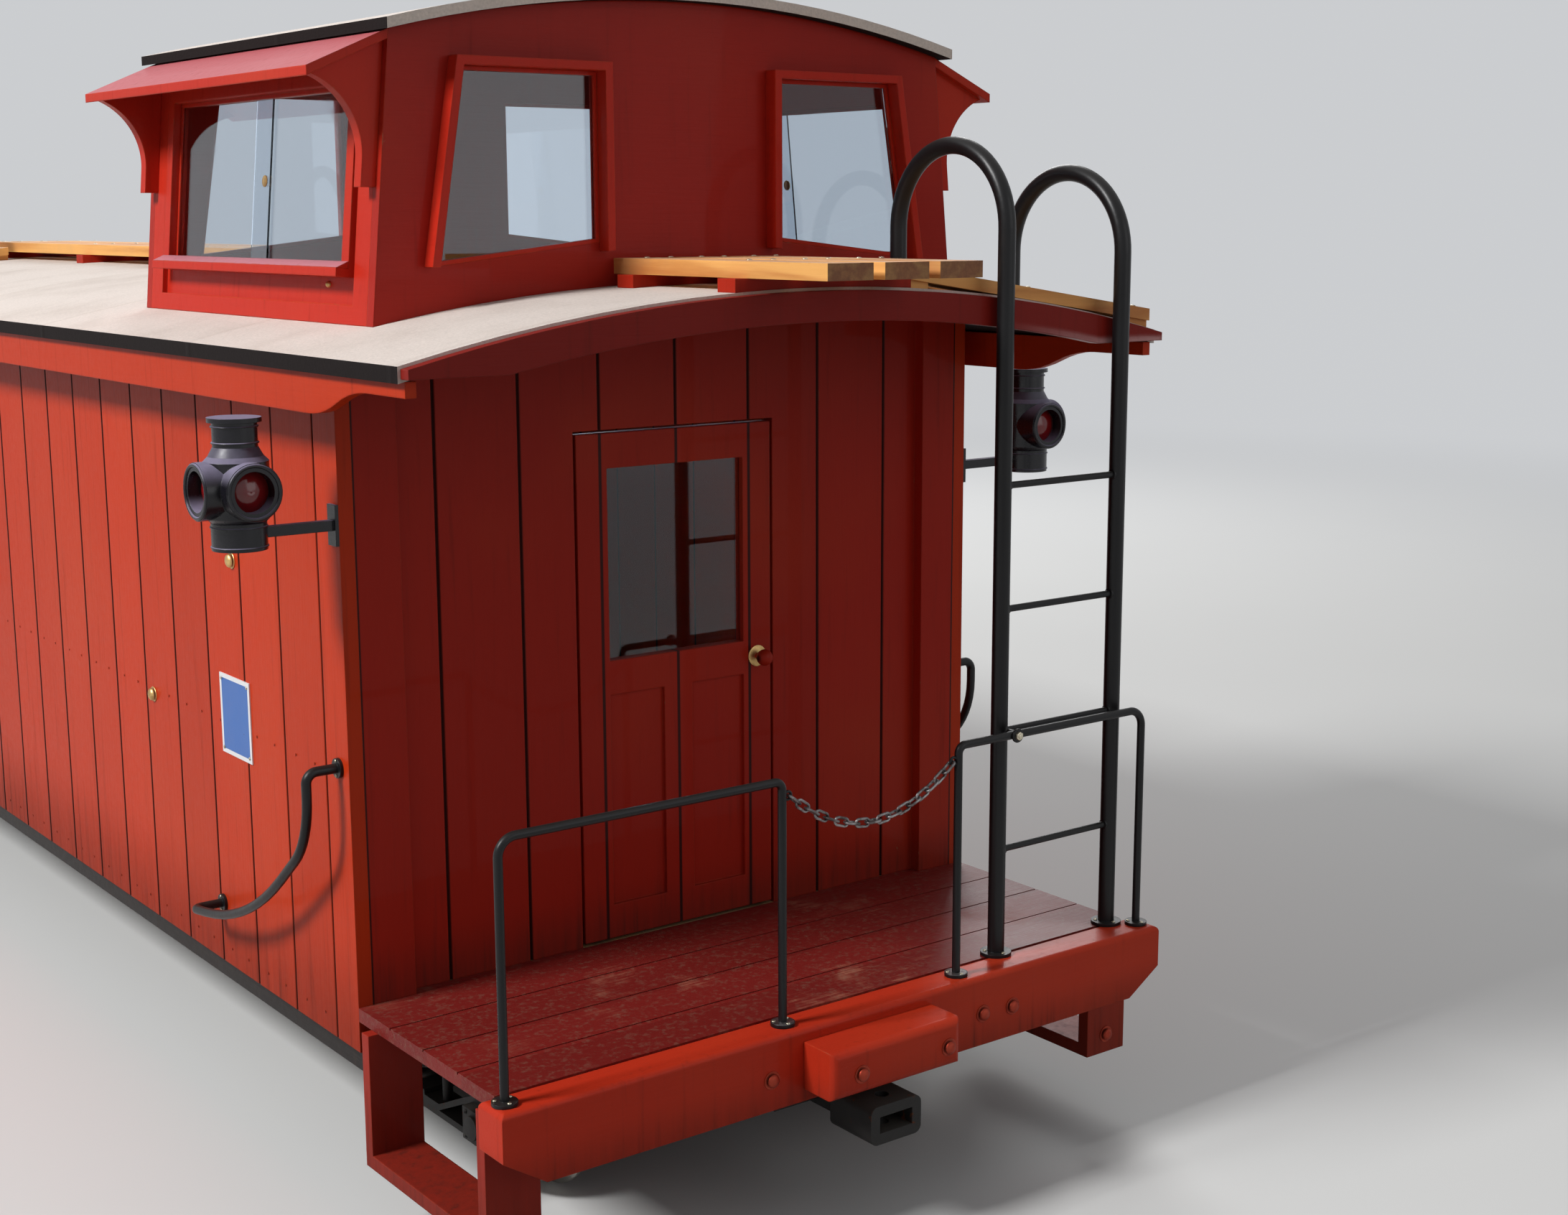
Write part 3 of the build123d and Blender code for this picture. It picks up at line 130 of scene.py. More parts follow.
class Sock:
    """A shader value that adds its own nodes when it stands in an expression."""

    def __init__(self, tree: "Tree", socket: NodeSocket) -> None:
        """Wrap one output socket of a tree."""
        self.tree, self.socket = tree, socket

    __add__ = __radd__ = maths("ADD")
    __mul__ = __rmul__ = maths("MULTIPLY")
    __sub__, __rsub__ = maths("SUBTRACT"), maths("SUBTRACT", swap=True)
    __truediv__, __abs__, floor = maths("DIVIDE"), maths("ABSOLUTE"), maths("FLOOR")
    sine, root, least, most = maths("SINE"), maths("SQRT"), maths("MINIMUM"), maths("MAXIMUM")

    def smooth(self, low: float, high: float) -> "Sock":
        """This value eased between two limits.

        Args:
            low: Where the result is 0.
            high: Where the result is 1; it may be the smaller of the two.

        Returns:
            The eased value.
        """
        inputs = {"Value": self, "From Min": min(low, high), "From Max": max(low, high),
                  "To Min": float(low > high), "To Max": float(low < high)}
        settings = {"interpolation_type": "SMOOTHSTEP", "clamp": True}
        return self.tree.put("ShaderNodeMapRange", inputs, settings)


Value = Union[Sock, float, Colour]


class Tree:
    """The nodes of a material or of the world, with the few patterns that they share."""

    def __init__(self, owner: Union[Material, bpy.types.World]) -> None:
        """Start the owner's nodes."""
        owner.use_nodes = True
        self.owner, self.nodes, self.links = owner, owner.node_tree.nodes, owner.node_tree.links

    def put(self, kind: str, inputs: dict, settings: Optional[dict] = None, out: Union[int, str] = 0) -> Sock:
        """Add a node.

        Args:
            kind: The node's type.
            inputs: Values or links by socket name or number.
            settings: The node's own settings, set before its sockets.
            out: Name or number of the output to return.

        Returns:
            The chosen output.
        """
        node = self.nodes.new(kind)
        for key, value in (settings or {}).items():
            setattr(node, key, value)
        for key, value in inputs.items():
            self.feed(node.inputs[key], value)
        return Sock(self, node.outputs[out])

    def feed(self, socket: NodeSocket, value: Value) -> None:
        """Link or set one input.

        Args:
            socket: The input socket.
            value: A shader value, a number, a vector or a colour.
        """
        if isinstance(value, Sock):
            self.links.new(value.socket, socket)
        elif isinstance(value, tuple) and len(socket.default_value) == 4:
            socket.default_value = (*value, 1.0)
        else:
            socket.default_value = value

    @property
    def place(self) -> Sock:
        """The point, on the object's own axes."""
        return self.put("ShaderNodeTexCoord", {}, out="Object")

    @property
    def normal(self) -> Sock:
        """The surface's outward direction."""
        return self.put("ShaderNodeNewGeometry", {}, out="Normal")

    def part(self, vector: Sock, axis: Axis) -> Sock:
        """One component of a vector."""
        return self.put("ShaderNodeSeparateXYZ", {0: vector}, out=axis.value)

    def axis(self, axis: Axis) -> Sock:
        """One coordinate of the point."""
        return self.part(self.place, axis)

    def facing(self, axis: Axis) -> Sock:
        """One component of the surface's outward direction."""
        return self.part(self.normal, axis)

    def stretched(self, scale: Point, offset: Point = (0, 0, 0)) -> Sock:
        """The point with each coordinate scaled, so that a pattern runs long one way."""
        inputs = {"Vector": self.place, "Location": offset, "Scale": scale}
        return self.put("ShaderNodeMapping", inputs, {"vector_type": "POINT"})

    def noise(self, scale: float, detail: float = 4.0, rough: float = 0.55, where: Optional[Sock] = None,
              warp: float = 0.0) -> Sock:
        """Fractal noise, about 0.5 in the middle, at the point or at another vector."""
        return self.put("ShaderNodeTexNoise", {"Vector": where or self.place, "Scale": scale,
                                               "Detail": detail, "Roughness": rough, "Distortion": warp})

    def edges(self, radius: float) -> tuple[Sock, Sock]:
        """Softened edges.

        Args:
            radius: How far the rounding reaches.

        Returns:
            The rounded surface's direction, and a mask that is 1 on the edges.
        """
        soft = self.put("ShaderNodeBevel", {"Radius": radius}, {"samples": 4})
        along = self.put("ShaderNodeVectorMath", {0: soft, 1: self.normal}, {"operation": "DOT_PRODUCT"},
                         out="Value")
        return soft, (1.0 - along).smooth(0.01, 0.16)

    def shown(self) -> Sock:
        """Tell rays that look at something from the light's own bounces.

        Returns:
            1 for rays that the eye, a mirror or a window pane sends, 0 for the others.
        """
        kinds = ("Camera", "Glossy", "Transmission")
        eye, mirror, pane = (self.put("ShaderNodeLightPath", {}, out=f"Is {kind} Ray") for kind in kinds)
        return (eye + mirror + pane).least(1.0)

    def draw(self, value: Sock) -> Sock:
        """An even random number from 0 to 1 for each whole number."""
        return self.put("ShaderNodeTexWhiteNoise", {"W": value}, {"noise_dimensions": "1D"})

    def mix(self, share: Value, low: Value, high: Value, blend: str = "MIX") -> Sock:
        """Blend of two colours."""
        settings = {"data_type": "RGBA", "blend_type": blend}
        return self.put("ShaderNodeMix", {0: share, 6: low, 7: high}, settings, out=2)

    def tint(self, colour: Value, strength: Sock) -> Sock:
        """A colour made lighter or darker by a number near 1."""
        grey = self.put("ShaderNodeCombineXYZ", {0: strength, 1: strength, 2: strength})
        return self.mix(1.0, colour, grey, "MULTIPLY")

    def finish(self, colour: Value, rough: Value, height: Optional[Sock] = None, depth: float = 0.001,
               metal: Value = 0.0, coat: Value = 0.0, shine: float = 0.5, normal: Optional[Sock] = None,
               others: Optional[dict[str, Value]] = None) -> Material:
        """Join the patterns to the surface.

        Args:
            colour: Base colour.
            rough: Roughness.
            height: Relief from 0 to 1, if there is any.
            depth: Depth of that relief.
            metal: Metallic share.
            coat: Clear coat's weight.
            shine: Specular level.
            normal: Direction that the relief starts from, where it isn't the surface's own.
            others: Values of the shader's other sockets, by name.

        Returns:
            The finished material.
        """
        values = {"Base Color": colour, "Roughness": rough, "Metallic": metal, "Coat Weight": coat,
                  "Specular IOR Level": shine} | (others or {})
        if height is not None:
            bump = {"Height": height, "Distance": depth, "Strength": 1.0}
            values["Normal"] = self.put("ShaderNodeBump", bump | ({"Normal": normal} if normal else {}))
        for name, value in values.items():
            self.feed(self.nodes["Principled BSDF"].inputs[name], value)
        return self.owner


# Finishes


@dataclass(frozen=True)
class Finish:
    """A finish that becomes a material of its name."""

    name: str

    def tree(self) -> Tree:
        """The nodes of the new material."""
        return Tree(bpy.data.materials.new(self.name))


@dataclass(frozen=True)
class PaintedBoards(Finish):
    """Gloss paint on boards, with a tint to each board, dark joints, grain, grime, worn edges and chips; where
    asked, a painted highlight on up-facing faces and pale pink on down-facing edges near the tips.
    """

    colour: Colour = (0.46, 0.031, 0.0045)
    grain: Axis = Axis.Z
    across: Axis = Axis.Y
    pitch: float = 0.0
    first: float = 0.0
    grime_top: float = 0.0
    grime_low: float = 0.0
    fade: Colour = (0.50, 0.060, 0.018)
    faded: float = 0.3
    edge_wear: float = 0.35
    edge_r: float = 0.003
    wood: Colour = srgb(150, 104, 78)
    dirt: Colour = srgb(58, 30, 24)
    joint: Colour = srgb(24, 8, 8)
    joint_w: float = 0.0036
    # The next two fields paint a highlight: up-facing faces made pale pink, for sky reflection and sun glare on
    # the tops.
    top_sheen: float = 0.0
    top_sheen_colour: Colour = (0.50, 0.21, 0.25)
    # The next two fields: a pale pink for down-facing rounded edges towards the tips, and that rounding's
    # radius.
    bare: Colour = srgb(222, 176, 176)
    tip_pale_r: float = 0.0

    def build(self) -> Material:
        """Build the material.

        Returns:
            The paint's material.
        """
        tree = self.tree()
        along = tuple(3.0 if axis is self.grain else 60.0 for axis in Axis)
        fibre = tree.noise(4.0, 6.0, 0.6, tree.stretched(along))
        cloud, fine = tree.noise(1.7, 3.0), tree.noise(90.0, 3.0)
        speck = tree.noise(38.0, 5.0, 0.7)
        streak = tree.noise(3.0, 4.0, 0.6, tree.stretched((26.0, 26.0, 1.2)))
        soft, edge = tree.edges(self.edge_r)
        board = tree.noise(0.4)
        if self.pitch:
            place = (tree.axis(self.across) - self.first) / self.pitch
            board = tree.draw(place.floor())
        colour = tree.tint(self.colour, 0.88 + 0.18 * board + 0.1 * fibre)
        colour = tree.mix(cloud.smooth(0.45, 0.75) * self.faded, colour, self.fade)
        # Painted highlight: up-facing faces made pale pink, standing for sky reflection and sun glare.
        if self.top_sheen:
            painted_top_sheen = tree.facing(Axis.Z).smooth(0.25, 0.8) * (0.7 + 0.6 * cloud) * self.top_sheen
            colour = tree.mix(painted_top_sheen, colour, self.top_sheen_colour)
        # Down-facing rounded edges towards the tips made pale pink.
        if self.tip_pale_r:
            below = 0.0 - tree.part(tree.edges(self.tip_pale_r)[0], Axis.Z)
            tip = (tree.axis(Axis.X) * tree.axis(Axis.Y) * -1.0).smooth(0.45, 0.86)
            colour = tree.mix(below.smooth(0.02, 0.22) * tip * (0.55 + 0.5 * speck), colour, self.bare)
        dirty = streak.smooth(0.54, 0.82) * 0.3
        if self.grime_top > self.grime_low:
            low = tree.axis(Axis.Z).smooth(self.grime_top, self.grime_low)
            dirty = (dirty + low * (0.15 + 0.6 * streak)).least(0.7)
        colour = tree.mix(dirty, colour, self.dirt)
        colour = tree.mix(edge * speck.smooth(0.35, 0.6) * self.edge_wear, colour, self.fade)
        worn = (speck + edge * 0.12).smooth(0.735, 0.76) * cloud.smooth(0.42, 0.58)
        colour = tree.mix(worn, colour, self.wood)
        if self.pitch:
            half = place + 0.5
            gap = abs(half - half.floor() - 0.5) * self.pitch
            colour = tree.mix(gap.smooth(self.joint_w, self.joint_w * 0.45) * 0.92, colour, self.joint)
        rough = 0.36 + 0.16 * fine + 0.25 * dirty + 0.3 * worn
        height = fibre * 0.55 + fine * 0.2 - worn * 0.6
        return tree.finish(colour, rough, height, 0.0006, coat=0.05 * (1.0 - dirty), shine=0.1, normal=soft)


@dataclass(frozen=True)
class DeckPaint(Finish):
    """Gloss dark red floor paint, scuffed pale where feet pass."""

    colour: Colour = srgb(112, 28, 24)
    scuff: Colour = srgb(150, 92, 72)
    dust: Colour = srgb(120, 98, 82)
    plank_w: float = 0.095
    path_from: float = 0.42
    path_to: float = 0.1

    def build(self) -> Material:
        """Build the material.

        Returns:
            The floor paint's material.
        """
        tree = self.tree()
        fibre = tree.noise(4.0, 6.0, 0.6, tree.stretched((3.0, 60.0, 60.0)))
        cloud, fine = tree.noise(6.0, 5.0, 0.65), tree.noise(120.0, 4.0, 0.6)
        plank = tree.draw((tree.axis(Axis.Y) / self.plank_w).floor())
        colour = tree.tint(self.colour, 0.86 + 0.2 * plank + 0.12 * fibre)
        path = abs(tree.axis(Axis.X)).smooth(self.path_from, self.path_to)
        worn = (cloud + fibre * 0.35).smooth(0.74, 0.92) * (0.25 + 0.75 * path)
        colour = tree.mix(worn, colour, self.scuff)
        colour = tree.mix(fine.smooth(0.48, 0.72) * 0.3, colour, self.dust)
        rough = 0.38 + 0.2 * cloud + 0.3 * worn
        return tree.finish(colour, rough, fibre - worn * 0.5, 0.0008, coat=0.04, shine=0.2)


@dataclass(frozen=True)
class Canvas(Finish):
    """Painted canvas on roof boards: pale warm grey, gritty, lap seams across, with painted shade, near-black,
    on its side edges and underside.
    """

    colour: Colour = srgb(214, 203, 195)
    shade: Colour = srgb(182, 168, 158)
    # Near-black painted shade for the side edges and underside, standing for the shadow under the canvas's lip.
    edge: Colour = srgb(17, 9, 8)
    seam_pitch: float = 0.62
    seam_w: float = 0.012

    def build(self) -> Material:
        """Build the material.

        Returns:
            The canvas's material.
        """
        tree = self.tree()
        grit, weave = tree.noise(240.0, 3.0, 0.75), tree.noise(160.0, 3.0)
        blot = tree.noise(5.0, 5.0, 0.6)
        run = tree.noise(2.4, 4.0, 0.6, tree.stretched((1.0, 14.0, 1.0)))
        colour = tree.mix(blot.smooth(0.42, 0.72) * 0.4, self.colour, self.shade)
        colour = tree.mix(run.smooth(0.55, 0.8) * 0.14, colour, self.shade)
        colour = tree.tint(colour, 0.72 + 0.52 * grit)
        along = tree.axis(Axis.Y) / self.seam_pitch
        seam = abs(along - along.floor() - 0.5).smooth(self.seam_w / self.seam_pitch, 0.0)
        colour = tree.mix(seam * 0.22, colour, self.shade)
        at_end = abs(tree.facing(Axis.Y)).smooth(0.5, 0.8)
        # Painted shade: side edges and underside made near-black; edges facing the ends stay pale.
        colour = tree.mix(tree.facing(Axis.Z).smooth(0.6, 0.45) * (1.0 - at_end), colour, self.edge)
        height = grit * 0.35 + weave * 0.3 + seam * 0.9
        return tree.finish(colour, 0.78 + 0.15 * grit, height, 0.0012, shine=0.2)


@dataclass(frozen=True)
class Fir(Finish):
    """Clear-finished or bare boards with growth rings, some running along the car and some across; end faces
    darker as end grain and painted shade, and where asked a painted highlight on up-facing faces.
    """

    light: Colour = srgb(244, 180, 100)
    dark: Colour = srgb(194, 118, 52)
    grey: Colour = srgb(150, 132, 112)
    # Darker end faces: end grain, and painted shade for ends that face away from the light.
    end_grain_and_shade: Colour = srgb(92, 52, 34)
    # The next two fields paint a highlight: up-facing faces made pale.
    top_sheen_colour: Colour = srgb(232, 198, 172)
    top_sheen: float = 0.0
    weathered: float = 0.2
    cross_from: float = 9.0
    pitch: float = 0.093
    gloss: float = 0.42

    def build(self) -> Material:
        """Build the material.

        Returns:
            The wood's material.
        """
        tree = self.tree()
        lateral = abs(tree.axis(Axis.X)).smooth(self.cross_from, self.cross_from + 0.0005)
        crosswise = tree.stretched((1.1, 22.0, 22.0), (3.0, 7.0, 0.0))
        where = tree.mix(lateral, tree.stretched((22.0, 1.1, 22.0)), crosswise)
        plank_x = (tree.axis(Axis.X) / self.pitch + 0.5).floor()
        plank_y = (tree.axis(Axis.Y) / self.pitch + 40.0).floor()
        plank = tree.draw(plank_x * (1.0 - lateral) + plank_y * lateral)
        shift = tree.put("ShaderNodeCombineXYZ", {0: plank * 9.0, 1: plank * 5.0, 2: plank * 7.0})
        where = tree.put("ShaderNodeVectorMath", {0: where, 1: shift}, {"operation": "ADD"})
        swirl, fibre = tree.noise(0.55, 3.0, 0.5, where, 0.6), tree.noise(6.0, 6.0, 0.7, where)
        ring = (swirl * 22.0).sine() * 0.5 + 0.5
        colour = tree.mix((ring * 0.55 + fibre * 0.5).smooth(0.2, 0.95), self.light, self.dark)
        colour = tree.tint(colour, 0.86 + 0.26 * plank)
        blot = tree.noise(5.0, 5.0, 0.65)
        colour = tree.mix(blot.smooth(0.45, 0.75) * self.weathered, colour, self.grey)
        # End faces made darker: end grain, made darker still as painted shade.
        ends = abs(tree.facing(Axis.Y)) * (1.0 - lateral) + abs(tree.facing(Axis.X)) * lateral
        colour = tree.mix(ends.smooth(0.8, 0.95) * (0.5 + 0.5 * fibre), colour, self.end_grain_and_shade)
        # Painted highlight: up-facing faces made pale.
        colour = tree.mix(tree.facing(Axis.Z).smooth(0.6, 0.95) * self.top_sheen, colour, self.top_sheen_colour)
        return tree.finish(colour, self.gloss + 0.2 * fibre + 0.2 * blot, ring * 0.4 + fibre * 0.6, 0.0006)


@dataclass(frozen=True)
class BlackIron(Finish):
    """Gloss black paint on iron, with brush marks, a little rust and paler up-facing faces: dust on most iron,
    a painted sheen on the lamps.
    """

    colour: Colour = (0.0060, 0.0058, 0.0065)
    rust: Colour = srgb(96, 50, 28)
    dust: Colour = srgb(92, 84, 76)
    rusty: float = 0.74
    dust_and_sheen: float = 0.06
    gloss: float = 0.22
    shine: float = 0.28
    edge_r: float = 0.0012

    def build(self) -> Material:
        """Build the material.

        Returns:
            The black paint's material.
        """
        tree = self.tree()
        cloud, fine = tree.noise(7.0, 4.0), tree.noise(110.0, 4.0, 0.65)
        pit = tree.noise(46.0, 5.0, 0.7)
        soft, edge = tree.edges(self.edge_r)
        rust = (pit * 0.7 + cloud * 0.3 + edge * 0.03).smooth(self.rusty * 0.9, self.rusty * 0.96)
        # Up-facing faces paled: dust on most iron, and on the lamps a painted highlight for sky reflection.
        top_dust_and_sheen = tree.facing(Axis.Z).smooth(0.2, 0.95) * (self.dust_and_sheen + self.dust_and_sheen * fine)
        colour = tree.mix(rust, tree.mix(top_dust_and_sheen, self.colour, self.dust), self.rust)
        rough = self.gloss + 0.16 * fine + 0.1 * cloud + 0.5 * rust + top_dust_and_sheen
        height = fine * 0.4 + pit * 0.5 + rust * 0.3
        return tree.finish(colour, rough.least(0.95), height, 0.0003, shine=self.shine, normal=soft)


@dataclass(frozen=True)
class RollingSteel(Finish):
    """A wheelset: tread and flange worn bright, the rest black with road dirt."""

    axle: Vector
    bright_from: float = 0.0965
    blur: float = 0.001
    bright: Colour = srgb(172, 168, 162)
    black: Colour = srgb(44, 38, 35)
    rust: Colour = srgb(98, 60, 40)

    def build(self) -> Material:
        """Build the material.

        Returns:
            The wheelset's material.
        """
        tree = self.tree()
        y, z = tree.axis(Axis.Y) - self.axle.y, tree.axis(Axis.Z) - self.axle.z
        worn = (y * y + z * z).root().smooth(self.bright_from - self.blur, self.bright_from + self.blur)
        fine = tree.noise(70.0, 5.0, 0.7)
        scratch = tree.noise(3.0, 4.0, 0.6, tree.stretched((160.0, 8.0, 8.0)))
        old = tree.mix(fine.smooth(0.5, 0.7) * 0.6, self.black, self.rust)
        colour = tree.mix(worn, old, tree.tint(self.bright, 0.75 + 0.4 * scratch))
        rough = 0.75 - 0.42 * worn + 0.15 * fine
        return tree.finish(colour, rough, fine * (1.0 - worn * 0.8), 0.0005, metal=worn * 0.95)


@dataclass(frozen=True)
class Zinc(Finish):
    """Zinc-plated or bare steel, dulled and spotted."""

    colour: Colour
    dull: Colour
    rust: Colour = srgb(104, 62, 38)
    rough: float = 0.3

    def build(self) -> Material:
        """Build the material.

        Returns:
            The steel's material.
        """
        tree = self.tree()
        cloud, fine = tree.noise(60.0, 4.0, 0.6), tree.noise(400.0, 3.0)
        rust = tree.noise(130.0, 5.0, 0.7).smooth(0.62, 0.7)
        colour = tree.mix(cloud.smooth(0.4, 0.7), self.colour, self.dull)
        colour = tree.mix(rust * 0.8, colour, self.rust)
        rough = self.rough + 0.25 * cloud + 0.4 * rust
        return tree.finish(colour, rough, fine + rust * 0.4, 0.0002, metal=0.95 - 0.8 * rust)


@dataclass(frozen=True)
class Glass(Finish):
    """Window glass with a film of dust."""

    colour: Colour = (0.80, 0.86, 0.92)

    def build(self) -> Material:
        """Build the material.

        Returns:
            The glass's material.
        """
        tree = self.tree()
        smear = tree.noise(7.0, 5.0, 0.6).smooth(0.5, 0.85) * 0.12
        return tree.finish(self.colour, smear, others={"Transmission Weight": 1.0, "IOR": 1.45})


@dataclass(frozen=True)
class Lens(Finish):
    """Deep red lamp glass, a little cloudy and uneven."""

    colour: Colour = (0.20, 0.004, 0.005)

    def build(self) -> Material:
        """Build the material.

        Returns:
            The lens's material.
        """
        tree = self.tree()
        cloud = tree.noise(60.0, 3.0)
        colour = tree.tint(self.colour, 0.8 + 0.4 * cloud)
        return tree.finish(colour, 0.12 + 0.1 * cloud, cloud, 0.0003, coat=0.2)


@dataclass(frozen=True)
class Enamel(Finish):
    """The blank plate's enamel: blue, with a pale border."""

    low: Vector
    high: Vector
    colour: Colour = srgb(38, 92, 168)
    paler: Colour = srgb(66, 118, 188)
    border: Colour = srgb(222, 222, 224)
    metal: Colour = srgb(92, 60, 44)
    border_w: float = 0.007
    blur: float = 0.0006

    def build(self) -> Material:
        """Build the material.

        Returns:
            The enamel's material.
        """
        tree = self.tree()
        middle, half = (self.low + self.high) / 2, (self.high - self.low) / 2
        rims = []
        for axis in (Axis.Y, Axis.Z):
            inner = half[axis.value] - self.border_w
            rims.append(abs(tree.axis(axis) - middle[axis.value]).smooth(inner, inner + self.blur))
        cloud = tree.noise(24.0, 4.0)
        chip = tree.noise(70.0, 5.0, 0.7).smooth(0.68, 0.72)
        colour = tree.mix(cloud * 0.4, self.colour, self.paler)
        colour = tree.mix(chip, tree.mix(rims[0].most(rims[1]), colour, self.border), self.metal)
        return tree.finish(colour, 0.25 + 0.2 * cloud + 0.3 * chip, cloud - chip, 0.0003)


@dataclass(frozen=True)
class Ground(Finish):
    """The plain pale floor of the studio."""

    name: str = "studio_floor"
    colour: Colour = (0.66, 0.66, 0.65)
    bounce: Colour = (0.30, 0.29, 0.27)
    far: Colour = (0.60, 0.612, 0.63)
    far_from: float = 3.5
    far_to: float = 11.0

    def build(self) -> Material:
        """Build the material.

        Returns:
            The floor's material: pale to look at, with less light thrown back, fading into the surround.
        """
        tree = self.tree()
        pale = tree.tint(self.colour, 0.98 + 0.04 * tree.noise(0.6, 3.0))
        pale = tree.mix(tree.shown(), self.bounce, pale)
        x, y = tree.axis(Axis.X), tree.axis(Axis.Y)
        away = (x * x + y * y).root().smooth(self.far_from, self.far_to) * tree.shown()
        glow = {"Emission Color": tree.tint(self.far, away), "Emission Strength": 1.0}
        return tree.finish(tree.mix(away, pale, (0.0, 0.0, 0.0)), 0.9, shine=0.0, others=glow)


# Modelling with Blender's own tools


class Editing:
    """Edit mode on the active piece, with all of it selected."""

    def __enter__(self) -> None:
        """Enter edit mode."""
        bpy.ops.object.mode_set(mode="EDIT")
        bpy.ops.mesh.select_all(action="SELECT")

    def __exit__(self, *error: object) -> None:
        """Leave edit mode."""
        bpy.ops.object.mode_set(mode="OBJECT")


def select(*pieces: Object) -> None:
    """Select these pieces alone.

    Args:
        pieces: The pieces, of which the first becomes the active one.
    """
    bpy.ops.object.select_all(action="DESELECT")
    for piece in reversed(pieces):
        piece.select_set(True)
        bpy.context.view_layer.objects.active = piece


def pick_top() -> None:
    """In edit mode, select the faces that face up, and nothing else."""
    data = bpy.context.object.data
    mesh = bmesh.from_edit_mesh(data)
    bpy.context.tool_settings.mesh_select_mode = (False, False, True)
    for part in (*mesh.verts, *mesh.edges, *mesh.faces):
        part.select = False
    for face in mesh.faces:
        face.select_set(face.normal.z > 0.9)
    bmesh.update_edit_mesh(data)


def bevel(width: float, segments: int = 2) -> Object:
    """Round the active piece's sharp edges.

    Args:
        width: Width of the rounding.
        segments: Faces across it.

    Returns:
        The piece.
    """
    piece = bpy.context.object
    modifier = piece.modifiers.new("edges", "BEVEL")
    modifier.width, modifier.segments, modifier.limit_method = width, segments, "ANGLE"
    bpy.ops.object.modifier_apply(modifier=modifier.name)
    return piece


def merge(pieces: Sequence[Object], name: str) -> Object:
    """Join pieces into one at the origin, unturned and unscaled, with its faces outwards.

    Args:
        pieces: The pieces.
        name: Name of the joined piece.

    Returns:
        The joined piece.
    """
    select(*pieces)
    if len(pieces) > 1:
        bpy.ops.object.join()
    piece = bpy.context.object
    piece.name = piece.data.name = name
    bpy.ops.object.transform_apply(location=True, rotation=True, scale=True)
    with Editing():
        bpy.ops.mesh.normals_make_consistent(inside=False)
    bpy.ops.object.shade_smooth_by_angle(angle=math.radians(35))
    return piece


